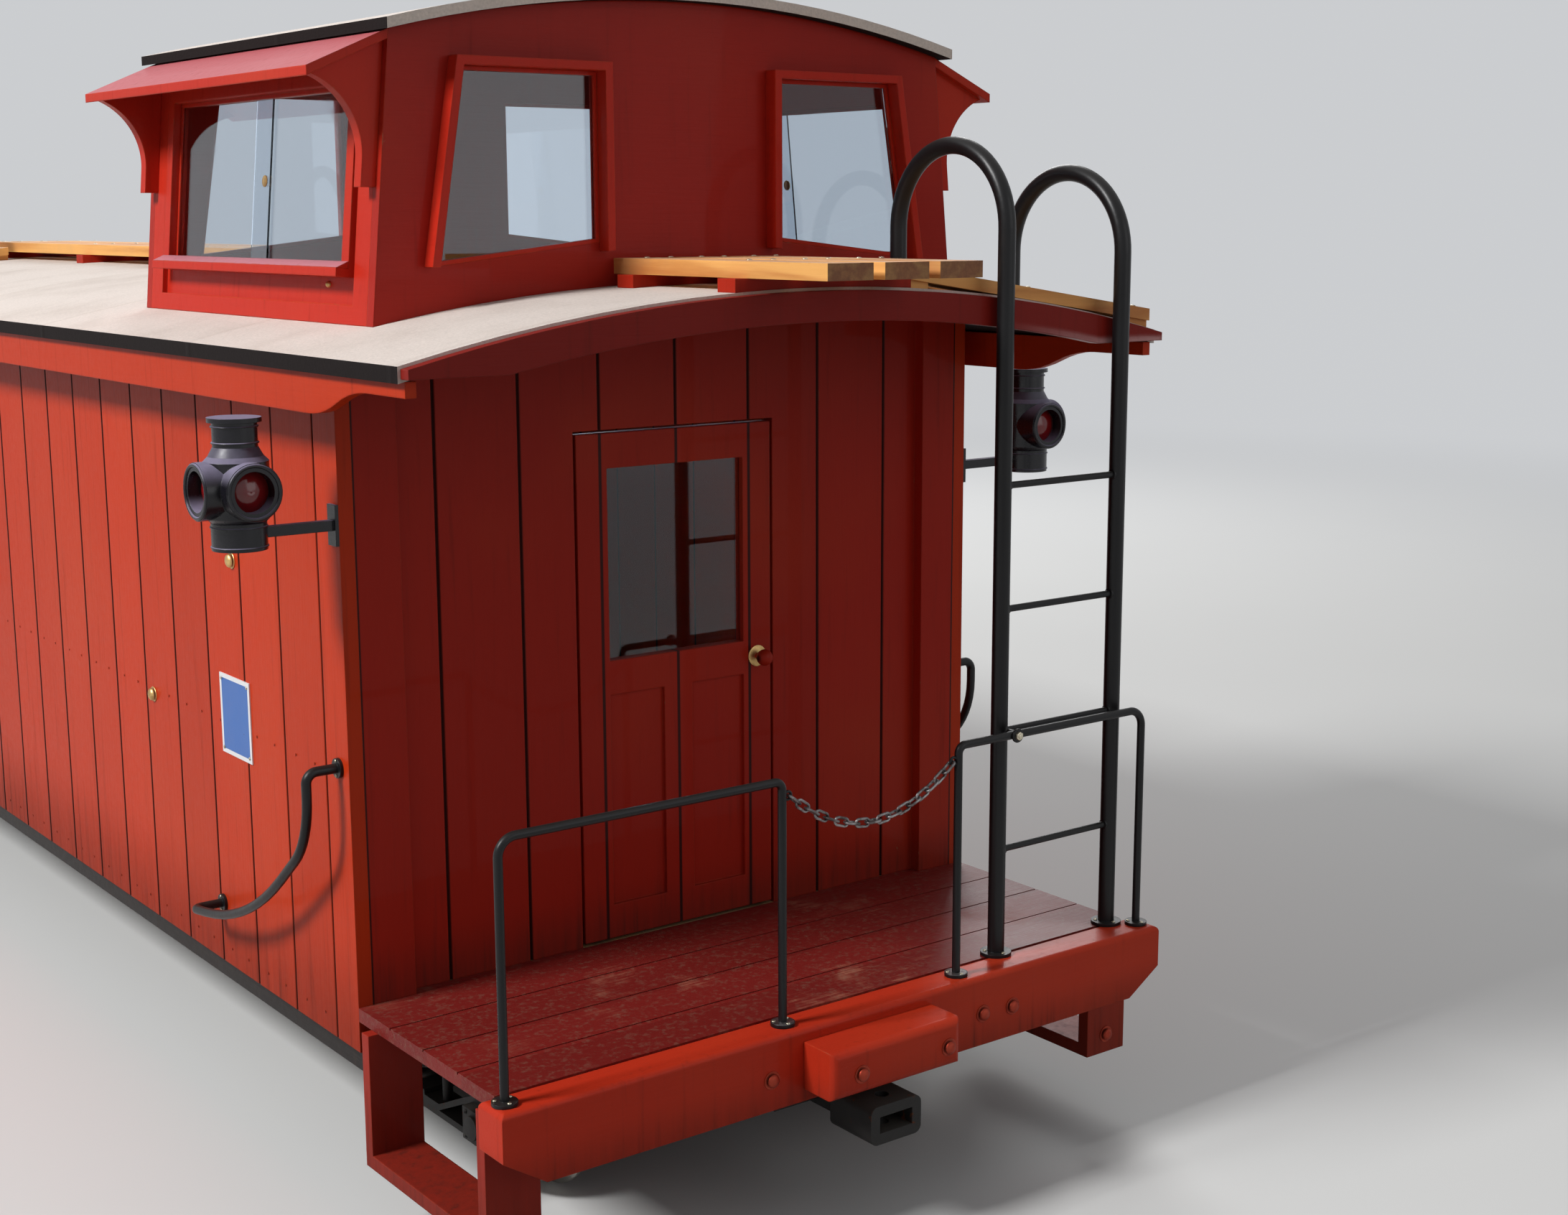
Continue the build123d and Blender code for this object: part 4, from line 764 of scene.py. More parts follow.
@dataclass(frozen=True)
class Fixing:
    """A bolt or screw head, modelled once at the origin along +Z and copied to its places.

    Nuts, plates and welds are let into their seats by half their height. Domes and screws are flattened
    about their own middle, so their rims stand a little proud.
    """

    head: Head
    radius: float
    height: float
    washer: float = 0.0
    washer_t: float = 0.0015
    sides: int = 20

    def template(self) -> Object:
        """Model the head.

        Returns:
            The head at the origin, with its washer if it has one.
        """
        select()
        piece = getattr(self, self.head.value)()
        return merge([piece, self.under()], "fixing") if self.washer else piece

    def dome(self) -> Object:
        """Model a carriage bolt's low dome.

        Returns:
            The top of a ball, flattened.
        """
        bpy.ops.mesh.primitive_uv_sphere_add(segments=self.sides, ring_count=12, radius=self.radius)
        with Editing():
            bpy.ops.mesh.bisect(plane_co=(0, 0, 0), plane_no=(0, 0, 1), clear_inner=True, use_fill=True)
            bpy.ops.mesh.select_all(action="SELECT")
            bpy.ops.transform.resize(value=(1, 1, self.height / self.radius))
            bpy.ops.transform.translate(value=(0, 0, self.washer_t if self.washer else 0))
        return bpy.context.object

    def hex(self) -> Object:
        """Model a nut.

        Returns:
            The nut, with its bolt's end standing out of it.
        """
        bpy.ops.mesh.primitive_cylinder_add(vertices=6, radius=self.radius, depth=self.height)
        with Editing():
            pick_top()
            bpy.ops.mesh.inset(thickness=self.radius * 0.35)
            bpy.ops.mesh.extrude_region_move(TRANSFORM_OT_translate={"value": (0, 0, self.height * 0.4)})
        return bevel(self.height * 0.12)

    def screw(self) -> Object:
        """Model a screw's head.

        Returns:
            A low round head with a slot.
        """
        piece = self.dome()
        bpy.ops.mesh.primitive_cube_add(size=1, location=(0, 0, self.height))
        cutter = bpy.context.object
        cutter.scale = (self.radius * 2.4, self.radius * 0.28, self.height)
        modifier = piece.modifiers.new("slot", "BOOLEAN")
        modifier.operation, modifier.object = "DIFFERENCE", cutter
        select(piece)
        bpy.ops.object.modifier_apply(modifier=modifier.name)
        bpy.data.objects.remove(cutter)
        return piece

    def collar(self) -> Object:
        """A flat round plate with a rounded rim."""
        bpy.ops.mesh.primitive_cylinder_add(vertices=self.sides, radius=self.radius, depth=self.height)
        return bevel(min(self.radius, self.height) * 0.3)

    def ring(self) -> Object:
        """Model a rounded bead.

        Returns:
            The upper part of a torus, closed flat below.
        """
        bpy.ops.mesh.primitive_torus_add(major_radius=self.radius, minor_radius=self.height,
                                         major_segments=3 * self.sides, minor_segments=12)
        with Editing():
            bpy.ops.mesh.bisect(plane_co=(0, 0, -0.3 * self.height), plane_no=(0, 0, 1), clear_inner=True)
            bpy.context.tool_settings.mesh_select_mode = (False, True, False)
            bpy.ops.mesh.select_all(action="DESELECT")
            bpy.ops.mesh.select_non_manifold()
            bpy.ops.mesh.bridge_edge_loops()
        return bpy.context.object

    def under(self) -> Object:
        """Model a washer.

        Returns:
            The washer, which stands on Z = 0.
        """
        bpy.ops.mesh.primitive_cylinder_add(vertices=self.sides, radius=self.washer, depth=self.washer_t,
                                            location=(0, 0, self.washer_t / 2))
        return bevel(self.washer_t * 0.3, 1)

    def place(self, name: str, places: Sequence[Place]) -> Object:
        """Copy the head to its places.

        Args:
            name: Name of the joined piece.
            places: Seat and outward direction of each head.

        Returns:
            All the heads as one object.
        """
        model, copies = self.template(), []
        for seat, outward in places:
            copy = model.copy()
            copy.data = model.data.copy()
            bpy.context.scene.collection.objects.link(copy)
            copy.rotation_mode = "QUATERNION"
            copy.rotation_quaternion = outward.to_track_quat("Z", "Y")
            copy.location = seat
            copies.append(copy)
        bpy.data.objects.remove(model)
        return merge(copies, name)


# The car's own sizes, as the frame has them


def mirrored(seat: Point, outward: Point, ends: Sequence[int] = (1,)) -> list[Place]:
    """A place on one side of the car, repeated on the other.

    Args:
        seat: The seat on one side.
        outward: The way it faces there.
        ends: Signs of Y that it is repeated at.

    Returns:
        The seats with their directions.
    """
    flips = [(x, y) for x in (-1, 1) for y in ends]
    return [tuple(Vector((x * p[0], y * p[1], p[2])) for p in (seat, outward)) for x, y in flips]


@dataclass
class Car:
    """Sizes that the dressing shares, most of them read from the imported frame."""

    deck_z: float
    beam_y: float
    body_x: float
    body_y: float
    axle_z: float
    roof_rise: float = 0.078
    board_w: float = 0.1359
    first_board: float = 0.072

    @classmethod
    def measure(cls) -> "Car":
        """Read the sizes from the frame's nodes.

        Returns:
            The car's sizes.
        """
        beam_low, beam_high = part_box("end_beam_front")
        wall_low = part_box("side_wall_left")[0]
        wheel_low, wheel_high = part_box("wheelset_front_outer")
        return cls(beam_high.z, beam_low.y, -wall_low.x, wall_low.y, (wheel_low.z + wheel_high.z) / 2)

    def roof_place(self, x: float, y: float, lift: float = 0.0) -> Place:
        """A point over the main roof and the way the roof faces there.

        Args:
            x: Distance from the car's middle.
            y: Place along the car.
            lift: Height above the canvas, square to it.

        Returns:
            The point and its direction.
        """
        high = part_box("roof")[1]
        radius = (high.x ** 2 + self.roof_rise ** 2) / (2 * self.roof_rise)
        up = Vector((x, 0, math.sqrt(radius ** 2 - x ** 2))) / radius
        return Vector((0, y, high.z - radius)) + up * (radius + lift), up


@dataclass
class Palette:
    """The finishes, built once and given to nodes and pieces by name."""

    car: Car
    made: dict[str, Material] = field(default_factory=dict)

    # the nodes of each finish, with END and SIDE for both ends and both sides; a wheelset has its own finish
    kinds = {
        "arch_paint": "arch_board_END", "beam_paint": "buffer_block_END end_beam_END",
        "black_iron": "door_hinges grab_irons ladder_END railing_END", "chain_steel": "chain_END",
        "cross_paint": "walk_saddles", "cupola_paint": "cupola_wall_END",
        "cupola_side_paint": "cupola_wall_SIDE cupola_windows visor_SIDE", "deck_paint": "deck_END",
        "end_paint": "door_END end_wall_END", "floor_boards": "floor", "lamp_glass": "lamp_lenses",
        "lamp_iron": "marker_lamps", "plate_enamel": "blank_plate", "roof_canvas": "cupola_roof roof",
        "side_paint": "side_wall_SIDE", "sill_black": "sills", "spring_iron": "truck_END_springs",
        "step_paint": "steps_END", "trim_paint": "fascia_SIDE side_windows",
        "truck_iron": "coupler_END cross_members truck_END_bolster truck_END_frame",
        "walk_boards": "roof_walk_END", "window_glass": "door_glass_END window_glass",
    }

    def mix(self) -> None:
        """Build every material."""
        deck_z, board_w = self.car.deck_z, self.car.board_w
        finishes = [
            PaintedBoards("side_paint", pitch=board_w, first=self.car.body_y + self.car.first_board - board_w,
                          grime_top=deck_z + 0.12, grime_low=deck_z - 0.07),
            # Painted shade: the end walls', saddles', arch boards', cupola end walls' and steps' paints below
            # are darker copies of the same red, for faces that stood in shade.
            PaintedBoards("end_paint", (0.36, 0.016, 0.007), across=Axis.X, pitch=0.1345,
                          grime_top=deck_z + 0.1, grime_low=deck_z),
            PaintedBoards("trim_paint", grain=Axis.Y, edge_wear=0.6, top_sheen=0.3),
            PaintedBoards("cross_paint", (0.36, 0.02, 0.008), Axis.X),
            PaintedBoards("beam_paint", (0.46, 0.028, 0.010), Axis.X, edge_wear=0.7,
                          grime_top=deck_z - 0.04, grime_low=deck_z - 0.115),
            PaintedBoards("arch_paint", (0.21, 0.011, 0.007), Axis.X, fade=srgb(142, 56, 46), faded=0.15,
                          edge_wear=0.6, tip_pale_r=0.016),
            PaintedBoards("cupola_paint", (0.34, 0.016, 0.009), Axis.X),
            PaintedBoards("cupola_side_paint", (0.46, 0.022, 0.010), Axis.Y, edge_wear=0.6, top_sheen=0.5),
            PaintedBoards("sill_paint", (0.46, 0.03, 0.016), Axis.Y, edge_wear=0.6, top_sheen=0.9),
            PaintedBoards("step_paint", (0.30, 0.02, 0.010), grime_top=deck_z - 0.03, grime_low=0.08),
            PaintedBoards("sill_black", srgb(34, 31, 30), Axis.Y, fade=srgb(58, 52, 48),
                          dirt=srgb(84, 68, 54)),
            DeckPaint("deck_paint"),
            Fir("floor_boards", srgb(150, 112, 72), srgb(104, 72, 44), weathered=0.5, gloss=0.6),
            Fir("walk_boards", cross_from=0.143, top_sheen=0.4),
            Canvas("roof_canvas"),
            BlackIron("black_iron"),
            # On the lamps the pale lilac on up-facing faces is a painted highlight for sky reflection, not
            # dust.
            BlackIron("lamp_iron", (0.0058, 0.0052, 0.0080), dust=srgb(158, 150, 178), dust_and_sheen=0.40, gloss=0.12,
                      shine=0.42),
            BlackIron("truck_iron", srgb(30, 28, 27), rusty=0.68, dust_and_sheen=0.2, gloss=0.45),
            BlackIron("spring_iron", srgb(44, 41, 38), rusty=0.64, dust_and_sheen=0.12, gloss=0.4),
            Zinc("chain_steel", srgb(146, 142, 142), srgb(72, 64, 62)),
            Zinc("bolt_paint", srgb(150, 60, 44), srgb(128, 44, 32), rough=0.4),
            Zinc("bare_screw", srgb(206, 198, 176), srgb(150, 138, 112), rough=0.25),
            Zinc("brass_head", srgb(214, 180, 120), srgb(168, 132, 84)),
            Glass("window_glass"),
            Lens("lamp_glass"),
            Enamel("plate_enamel", *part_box("blank_plate")),
        ]
        for node in (f"wheelset_{end.value}_{place}" for end in End for place in ("outer", "inner")):
            low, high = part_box(node)
            finishes.append(RollingSteel(node, (low + high) / 2))
        self.made = {finish.name: finish.build() for finish in finishes}

    def paint_nodes(self, nodes: dict[str, Object]) -> None:
        """Give every carried-over node its material.

        Args:
            nodes: The nodes by name.
        """
        finish_of = {kind: finish for finish, kinds in self.kinds.items() for kind in kinds.split()}
        words = {end.value: "END" for end in End} | {side.value: "SIDE" for side in Side}
        for name, node in nodes.items():
            kind = "_".join(words.get(word, word) for word in name.split("_"))
            finish = finish_of.get(kind, name)
            node.data.materials.clear()
            node.data.materials.append(self.made[finish])
            log.info("node %s is finished in %s", name, finish)


# Small fittings


@dataclass
class Fittings:
    """What every set of fittings needs: the car's sizes, the finishes and a way to set heads."""

    car: Car
    palette: Palette

    def dress(self, piece: Object, finish: str, slot: str, body: str = "car_body") -> None:
        """Give a finished piece its material and its body.

        Args:
            piece: The piece.
            finish: The finish's name.
            slot: The record's material slot; it is not used.
            body: The body that the piece rides on.
        """
        piece.data.materials.clear()
        piece.data.materials.append(self.palette.made[finish])
        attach(piece, body)
        log.info("%s rides on %s", piece.name, body)

    def set_heads(self, name: str, fixing: Fixing, places: Sequence[Place], finish: str = "black_iron",
                  slot: str = "black_iron", body: str = "car_body") -> None:
        """Make one dressed piece, of that name, from a fixing's copies at those places."""
        self.dress(fixing.place(name, places), finish, slot, body)


@dataclass
class EndFittings(Fittings):
    """One end's bolts, the ironwork's screws, welds and clip, and the rings worn bright at its feet."""

    end: End
    beam_bolts: Sequence[tuple[float, float]] = ((-0.169, -0.060), (0.215, -0.056), (0.273, -0.058))
    block_bolts: Sequence[tuple[float, float]] = ((-0.065, -0.056), (0.091, -0.056))
    block_out: float = 0.065
    step_bolt_x: float = 0.535
    step_bolt_z: Sequence[float] = (-0.085, -0.185)
    step_in: float = 0.062
    rail_feet: Sequence[float] = (-0.562, -0.128, 0.188, 0.562)
    rail_in: float = 0.030
    rail_z: float = 0.343
    rail_r: float = 0.006
    ladder_feet: Sequence[float] = (0.296, 0.529)
    ladder_in: float = 0.062
    ladder_r: float = 0.0125
    ladder_back: float = 0.236
    rung_z: Sequence[float] = (0.161, 0.342, 0.523, 0.704)
    foot_t: float = 0.005
    rail_screw_r: float = 0.0125
    ladder_screw_r: float = 0.0165
    roof_screw_r: float = 0.0195
    weld_sunk: float = 0.0022
    strap_off: float = 0.0012
    bolt_off: float = 0.0047
    spacer_sunk: float = 0.001
    spacer_more: float = 0.003
    bolt: Fixing = Fixing(Head.DOME, 0.0095, 0.005, washer=0.013)
    screw: Fixing = Fixing(Head.SCREW, 0.0030, 0.0016, sides=12)
    ring: Fixing = Fixing(Head.COLLAR, 0.0160, 0.0010)
    weld: Fixing = Fixing(Head.COLLAR, 0.0082, 0.0052)
    strap: Fixing = Fixing(Head.COLLAR, 0.0105, 0.0035)
    nut: Fixing = Fixing(Head.HEX, 0.0065, 0.0045)
    plate_r: float = 0.0255
    spacer_r: float = 0.0065

    def build(self) -> None:
        """Make this end's fittings."""
        self.bolts()
        self.feet()
        self.welds()
        self.clip()

    def places(self, outward: Point, seats: Sequence[Point]) -> list[Place]:
        """Places that face one way.

        Args:
            outward: The way they face at the front end.
            seats: Distance from the middle, behind the beam's face and above the deck.

        Returns:
            The places at this end.
        """
        turn, beam, deck = self.end.turn, self.car.beam_y, self.car.deck_z
        return [(turn((x, beam + y, deck + z)), turn(outward)) for x, y, z in seats]

    def bolts(self) -> None:
        """Carriage bolts in the beam, the block and the steps' hangers."""
        seats = [(x, 0, z) for x, z in self.beam_bolts]
        seats += [(x, -self.block_out, z) for x, z in self.block_bolts]
        seats += [(side * self.step_bolt_x, self.step_in, z) for side in (-1, 1) for z in self.step_bolt_z]
        places = self.places((0, -1, 0), seats)
        self.set_heads(f"beam_bolts_{self.end.value}", self.bolt, places, "bolt_paint", "red_wood")

    def feet(self) -> None:
        """Screws in the feet of railing and ladder, bright rings at the gate posts, plates on the roof."""
        turn, end = self.end.turn, self.end.value
        angles = [math.tau * third / 3 + 0.5 for third in range(3)]
        rows = ((self.rail_feet, self.rail_in, self.rail_screw_r),
                (self.ladder_feet, self.ladder_in, self.ladder_screw_r))
        seats = [(x + ring * math.cos(angle), inward + ring * math.sin(angle), self.foot_t)
                 for feet, inward, ring in rows for x in feet for angle in angles]
        screws = self.places((0, 0, 1), seats)
        y = self.car.beam_y + self.ladder_in + self.ladder_back
        for x in self.ladder_feet:
            middle, up = self.car.roof_place(x, y, self.foot_t)
            across = Vector((up.z, 0, -up.x))
            for quarter in range(4):
                angle = math.tau * (quarter + 0.5) / 4
                out = across * (self.roof_screw_r * math.cos(angle))
                along = Vector((0, self.roof_screw_r * math.sin(angle), 0))
                screws.append((turn(middle + out + along), turn(up)))
        rings = self.places((0, 0, 1), [(x, self.rail_in, self.foot_t) for x in self.rail_feet[1:3]])
        plates = [tuple(map(turn, self.car.roof_place(x, y))) for x in self.ladder_feet]
        self.set_heads(f"foot_screws_{end}", self.screw, screws, "bare_screw")
        self.set_heads(f"foot_rings_{end}", self.ring, rings, "chain_steel")
        self.set_heads(f"ladder_roof_plates_{end}", Fixing(Head.COLLAR, self.plate_r, self.foot_t), plates)

    def welds(self) -> None:
        """Weld beads where the rungs meet the rails."""
        beads = []
        for x, side in zip(self.ladder_feet, (1, -1)):
            face = x + side * (self.ladder_r - self.weld_sunk)
            beads += self.places((side, 0, 0), [(face, self.ladder_in, z) for z in self.rung_z])
        self.set_heads(f"rung_welds_{self.end.value}", self.weld, beads)

    def clip(self) -> None:
        """The strap, spacer and bright bolt that tie the railing to the ladder's inner rail."""
        front, back = self.rail_in - self.rail_r, self.rail_in + self.rail_r
        spacer = Fixing(Head.COLLAR, self.spacer_r, self.ladder_in - self.ladder_r - back + self.spacer_more)
        rows = [
            # name, fixing, way it faces along Y, distance behind the beam's face, finish
            ("strap", self.strap, -1, front - self.strap_off, "black_iron"),
            ("spacer", spacer, 1, back - self.spacer_sunk, "black_iron"),
            ("bolt", self.nut, -1, front - self.bolt_off, "bare_screw"),
        ]
        for name, fixing, way, inward, finish in rows:
            places = self.places((0, way, 0), [(self.ladder_feet[0], inward, self.rail_z)])
            self.set_heads(f"rail_{name}_{self.end.value}", fixing, places, finish)


@dataclass
class BodyFittings(Fittings):
    """Nail heads in the boards, round heads, the screws of handrails and plate, and a rose behind each door's
    knob.
    """

    nail_rows: Sequence[float] = (-0.038, 0.330, 0.868)
    nail_shares: Sequence[float] = (0.27, 0.73)
    # round heads: place along the car from the beam's face, height above the deck
    round_heads: Sequence[tuple[float, float]] = ((0.810, 0.586), (1.159, 0.321))
    # handrail feet: place along the car from the beam's face, height above the deck
    rail_feet: Sequence[tuple[float, float]] = ((0.470, 0.340), (0.907, 0.032))
    rail_foot_t: float = 0.005
    rail_foot_screw: float = 0.0105
    plate_screw_in: float = 0.008
    knob_in: float = 0.026
    knob_back: float = 0.020
    knob_z: float = 0.409
    nail: Fixing = Fixing(Head.DOME, 0.0023, 0.0005, sides=8)
    tie_bolt: Fixing = Fixing(Head.DOME, 0.0105, 0.0055, washer=0.0125)
    rail_screw: Fixing = Fixing(Head.SCREW, 0.0024, 0.0014, sides=10)
    plate_screw: Fixing = Fixing(Head.SCREW, 0.0026, 0.0012, sides=10)
    rose: Fixing = Fixing(Head.COLLAR, 0.017, 0.003)

    def build(self) -> None:
        """Make all of them."""
        self.nails()
        self.round_heads_and_screws()
        self.plate()
        self.doors()

    def nails(self) -> None:
        """Two painted nail heads a board, in each row of both side walls."""
        y0, pitch = self.car.body_y + self.car.first_board, self.car.board_w
        boards = range(round(-2 * y0 / pitch))
        seats = [(self.car.body_x, y0 + pitch * (board + share), self.car.deck_z + up)
                 for board in boards for share in self.nail_shares for up in self.nail_rows]
        places = [place for seat in seats for place in mirrored(seat, (1, 0, 0))]
        self.set_heads("board_nails", self.nail, places, "side_paint", "red_wood")

    def round_heads_and_screws(self) -> None:
        """Round heads of the tie bolts on the side walls, and the handrails' screws."""
        x, y0, z0 = self.car.body_x, self.car.beam_y, self.car.deck_z
        heads = [place for y, z in self.round_heads for place in mirrored((x, y0 + y, z0 + z), (1, 0, 0))]
        self.set_heads("round_heads", self.tie_bolt, heads, "brass_head", "red_wood")
        screws = []
        for y, z in self.rail_feet:
            for up in (-self.rail_foot_screw, self.rail_foot_screw):
                screws += mirrored((x + self.rail_foot_t, y0 + y, z0 + z + up), (1, 0, 0), (-1, 1))
        self.set_heads("handrail_screws", self.rail_screw, screws, "bare_screw")

    def plate(self) -> None:
        """A screw in each corner of the blank plate."""
        low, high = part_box("blank_plate")
        inset = self.plate_screw_in
        places = [(Vector((low.x, y, z)), Vector((-1, 0, 0)))
                  for y in (low.y + inset, high.y - inset) for z in (low.z + inset, high.z - inset)]
        self.set_heads("plate_screws", self.plate_screw, places, "bare_screw", "blue_paint")

    def doors(self) -> None:
        """A rose behind each door's knob."""
        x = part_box("door_front")[1].x - self.knob_in
        seat = (x, self.car.body_y + self.knob_back, self.car.deck_z + self.knob_z)
        for end in End:
            self.set_heads(f"knob_rose_{end.value}", self.rose, [(end.turn(seat), end.turn((0, -1, 0)))],
                           "brass_head", "red_wood", f"door_{end.value}_body")


@dataclass
class LampFittings(Fittings):
    """Beads rolled into the marker lamps: round each lens tube's mouth, the oil pot, the neck and the cap."""

    out: float = 0.140
    low: float = 0.662
    middle: float = 0.741
    mouth: float = 0.056
    mouth_bead: Fixing = Fixing(Head.RING, 0.0345, 0.0026)
    band_h: float = 0.0018
    # beads round the lamp: radius, height above its foot
    bands: Sequence[tuple[float, float]] = (
        (0.0355, 0.004), (0.0355, 0.030), (0.0290, 0.139), (0.0290, 0.160))

    def build(self) -> None:
        """Make all of them."""
        x, y, z, ends = self.car.body_x + self.out, -self.car.body_y, self.car.deck_z, (-1, 1)
        mouths = mirrored((x + self.mouth, y, z + self.middle), (1, 0, 0), ends)
        mouths += mirrored((x, y + self.mouth, z + self.middle), (0, 1, 0), ends)
        self.set_heads("lamp_mouth_beads", self.mouth_bead, mouths, "lamp_iron")
        for count, (radius, up) in enumerate(self.bands, 1):
            self.set_heads(f"lamp_band_{count}", Fixing(Head.RING, radius, self.band_h),
                           mirrored((x, y, z + self.low + up), (0, 0, 1), ends), "lamp_iron")


@dataclass
class RoofFittings(Fittings):
    """Screws in the roof's boards, and the strips, small heads and pane pulls of the cupola's sides."""

    board_x: Sequence[float] = (-0.093, 0.0, 0.093)
    screw_out: float = 0.020
    saddle_len: float = 0.040
    saddle_pitch: float = 0.620
    step_x: Sequence[float] = (0.170, 0.391, 0.612)
    step_y: Sequence[float] = (0.138, 0.230)
    step_from: float = 0.150
    step_to: float = 0.632
    step_lift: float = 0.030
    lean: float = 5.5
    base_drop: float = 0.042
    cupola_half_w: float = 0.508
    strip_up: float = 0.0683
    strip_len: float = 0.662
    strip_from: float = 0.004
    strip_to: float = 0.0215
    strip_h: float = 0.010
    strip_lip: float = 0.002
    strip_edge: float = 0.0006
    pull_up: float = 0.190
    pull_in: float = 0.0105
    pull_ahead: float = 0.014
    peg_up: float = 0.046
    peg_in: float = 0.008
    peg_ahead: float = 0.250
    screw: Fixing = Fixing(Head.SCREW, 0.0042, 0.0014, sides=12)
    peg: Fixing = Fixing(Head.DOME, 0.0050, 0.0060, sides=12)
    pull: Fixing = Fixing(Head.COLLAR, 0.0085, 0.0022)

    def build(self) -> None:
        """Make all of them."""
        self.walk_screws()
        self.step_screws()
        self.sill_strips()
        self.cupola_heads()

    def saddle_rows(self) -> list[float]:
        """Find the cross pieces under the walk.

        Returns:
            The middle of each one, along the car.
        """
        low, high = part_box("walk_saddles")
        front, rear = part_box("cupola_wall_front")[0].y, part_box("cupola_wall_rear")[1].y
        start, stop = rear + self.saddle_len, high.y - self.saddle_len
        bays = round((stop - start) / self.saddle_pitch)
        behind = [start + (stop - start) * bay / bays for bay in range(bays + 1)]
        return [y + self.saddle_len / 2 for y in (low.y, front - 2 * self.saddle_len, *behind)]

    def walk_screws(self) -> None:
        """Two screws a board over each cross piece."""
        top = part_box("roof_walk_front")[1].z
        places = [(Vector((x + side * self.screw_out, y, top)), UP)
                  for x in self.board_x for side in (-1, 1) for y in self.saddle_rows()]
        self.set_heads("walk_screws", self.screw, places, "bare_screw", "walk_wood")

    def step_screws(self) -> None:
        """Two screws over each block of the boards beside the ladders."""
        z0, z1 = (self.car.roof_place(x, 0)[0].z + self.step_lift for x in (self.step_from, self.step_to))
        fall = (z1 - z0) / (self.step_to - self.step_from)
        seats = [(x, self.car.beam_y + y + side * self.screw_out, z0 + fall * (x - self.step_from))
                 for x in self.step_x for y in self.step_y for side in (-1, 1)]
        places = [(end.turn(seat), end.turn((-fall, 0, 1))) for end in End for seat in seats]
        self.set_heads("step_screws", self.screw, places, "bare_screw", "walk_wood")

    def cupola_side(self, side: int) -> tuple[Vector, Vector, Vector]:
        """A cupola side wall's leaning face.

        Args:
            side: 1 for the right wall, -1 for the left one.

        Returns:
            The middle of its base line, its outward direction and the direction up its slope.
        """
        lean = math.radians(self.lean)
        out = Vector((side * math.cos(lean), 0, math.sin(lean)))
        up = Vector((-side * math.sin(lean), 0, math.cos(lean)))
        low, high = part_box("cupola_wall_left")
        base = Vector((side * self.cupola_half_w, (low.y + high.y) / 2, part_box("roof")[1].z - self.base_drop))
        return base, out, up

    def sill_strips(self) -> None:
        """A strip that sheds the rain, cut to a slope, along each cupola side sill."""
        strips = []
        run, fall = self.strip_to - self.strip_from, self.strip_h - self.strip_lip
        for side in (-1, 1):
            base, out, up = self.cupola_side(side)
            select()
            bpy.ops.mesh.primitive_cube_add(size=1, location=(self.strip_from + run / 2, 0, self.strip_h / 2))
            bpy.context.object.scale = (run, self.strip_len, self.strip_h)
            bpy.ops.object.transform_apply(location=True, rotation=True, scale=True)
            with Editing():
                bpy.ops.mesh.bisect(plane_co=(self.strip_to, 0, self.strip_lip), plane_no=(fall, 0, run),
                                    clear_outer=True, use_fill=True)
            piece = bevel(self.strip_edge)
            turned = Matrix((out, up.cross(out), up)).transposed().to_4x4()
            piece.matrix_world = Matrix.Translation(base + up * self.strip_up) @ turned
            strips.append(piece)
        self.dress(merge(strips, "sill_strips"), "sill_paint", "red_wood")

    def cupola_heads(self) -> None:
        """A small pale head on the panel under each sill, and a round pull on each pane's free edge."""
        base, out, up = self.cupola_side(1)
        rows = [
            # name, fixing, height up the slope, depth behind the face, distance ahead of the middle
            ("sill_pegs", self.peg, self.peg_up, self.peg_in, self.peg_ahead),
            ("pane_pulls", self.pull, self.pull_up, self.pull_in, self.pull_ahead),
        ]
        for name, fixing, rise, deep, ahead in rows:
            seat = base + up * rise - out * deep + Vector((0, -ahead, 0))
            self.set_heads(name, fixing, mirrored(seat, out), "brass_head", "red_wood")


@dataclass
class TruckFittings(Fittings):
    """Nuts on one truck's columns and boxes, and bolts round the box lids."""

    end: End
    truck_in: float = 0.600
    bar_x: float = 0.377
    crest_z: float = 0.205
    column_y: float = 0.067
    box_y: float = 0.210
    box_bolt_y: float = 0.022
    box_top_z: float = 0.157
    low_z: float = 0.077
    lid_x: float = 0.414
    lid_bolt_y: float = 0.0205
    lid_bolt_z: float = 0.0185
    nut: Fixing = Fixing(Head.HEX, 0.0085, 0.0065)
    lid_bolt: Fixing = Fixing(Head.HEX, 0.0040, 0.0034)

    def build(self) -> None:
        """Make this truck's nuts and bolts."""
        turn, middle, boxes = self.end.turn, self.car.beam_y + self.truck_in, (-self.box_y, self.box_y)
        rows = [(self.column_y, self.crest_z), (-self.column_y, self.crest_z)]
        rows += [(box + way * self.box_bolt_y, self.box_top_z) for box in boxes for way in (1, -1)]
        nuts = [(turn((side * self.bar_x, middle + y, height)), way) for side in (-1, 1) for y, z in rows
                for height, way in ((z, UP), (self.low_z, DOWN))]
        lids = [(turn((side * self.lid_x, middle + box + dy * self.lid_bolt_y,
                       self.car.axle_z + dz * self.lid_bolt_z)), turn((side, 0, 0)))
                for side in (-1, 1) for box in boxes for dy in (-1, 1) for dz in (-1, 1)]
        for name, fixing, places in (("truck_nuts", self.nut, nuts), ("box_bolts", self.lid_bolt, lids)):
            self.set_heads(f"{name}_{self.end.value}", fixing, places, "truck_iron", "cast_iron",
                           f"truck_{self.end.value}")


# The studio


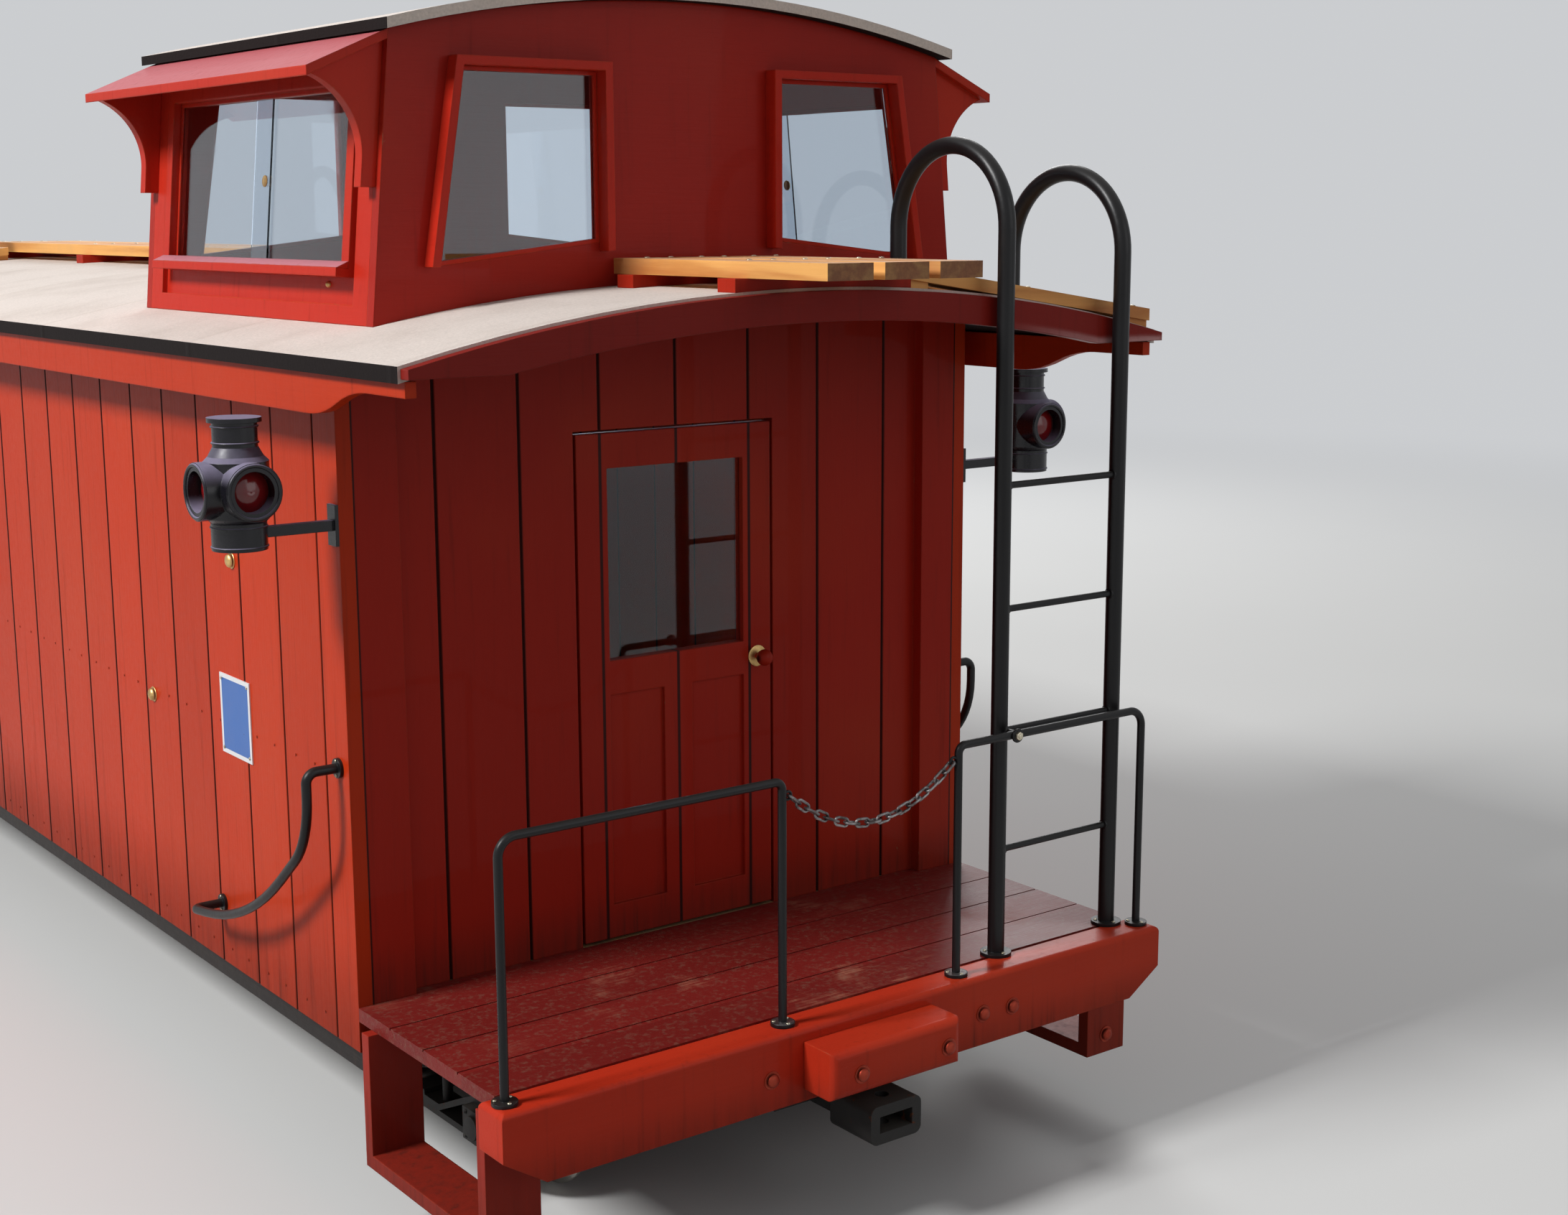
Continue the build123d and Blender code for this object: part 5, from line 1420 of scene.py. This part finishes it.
@dataclass
class Studio:
    """Camera, lights, floor and background."""

    eye: Point = (-1.785, -3.826, 1.398)
    yaw: float = 37.2
    pitch: float = -10.45
    roll: float = 0.16
    focal_px: float = 2956.0
    frame_px: float = 2184.0
    sensor_mm: float = 36.0
    floor_size: float = 60.0
    surround: Colour = (0.95, 0.97, 1.0)
    surround_light: float = 0.26
    surround_shown: float = 0.63

    def build(self) -> None:
        """Make the whole studio."""
        self.camera()
        self.lights()
        self.world()
        self.floor()

    def camera(self) -> None:
        """The camera at the photograph's angle."""
        data = bpy.data.cameras.new("camera")
        data.sensor_width = self.sensor_mm
        data.lens = self.focal_px / self.frame_px * self.sensor_mm
        camera = bpy.data.objects.new("camera", data)
        camera.location = self.eye
        camera.rotation_euler = [math.radians(angle) for angle in (90 + self.pitch, self.roll, -self.yaw)]
        bpy.context.scene.collection.objects.link(camera)
        bpy.context.scene.camera = camera

    def lights(self) -> None:
        """A high key from the left, and two weaker lights."""
        rows = [
            # name, place, aim, size, power
            ("key", (-6.6, -0.6, 6.4), (0.0, -0.4, 0.7), 1.8, 760.0),
            ("fill", (2.2, -7.4, 3.0), (0.0, -1.2, 0.7), 4.0, 45.0),
            ("back", (5.5, 6.0, 5.4), (0.0, 0.5, 0.7), 4.0, 420.0),
        ]
        for name, place, aim, size, power in rows:
            data = bpy.data.lights.new(name, "AREA")
            data.size, data.energy = size, power
            light = bpy.data.objects.new(name, data)
            light.location = place
            light.rotation_mode = "QUATERNION"
            light.rotation_quaternion = (Vector(aim) - Vector(place)).to_track_quat("-Z", "Y")
            bpy.context.scene.collection.objects.link(light)
        bpy.context.scene.view_settings.view_transform = "Standard"

    def world(self) -> None:
        """The studio's surround: pale to look at, dimmer as a light."""
        tree = Tree(bpy.data.worlds.new("studio"))
        more = self.surround_shown - self.surround_light
        background = tree.nodes["Background"].inputs
        tree.feed(background["Color"], self.surround)
        tree.feed(background["Strength"], self.surround_light + more * tree.shown())
        bpy.context.scene.world = tree.owner

    def floor(self) -> None:
        """A plain pale floor."""
        select()
        bpy.ops.mesh.primitive_plane_add(size=self.floor_size)
        piece = bpy.context.object
        piece.name = piece.data.name = "floor_plane"
        piece.data.materials.append(Ground().build())


def main() -> None:
    """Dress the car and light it."""
    logging.basicConfig(level=logging.INFO, format="%(message)s")
    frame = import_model()
    car = Car.measure()
    palette = Palette(car)
    palette.mix()
    palette.paint_nodes(frame["nodes"])
    Studio().build()
    for end in End:
        EndFittings(car, palette, end).build()
        TruckFittings(car, palette, end).build()
    for kind in (BodyFittings, LampFittings, RoofFittings):
        kind(car, palette).build()


if __name__ == "__main__":
    main()
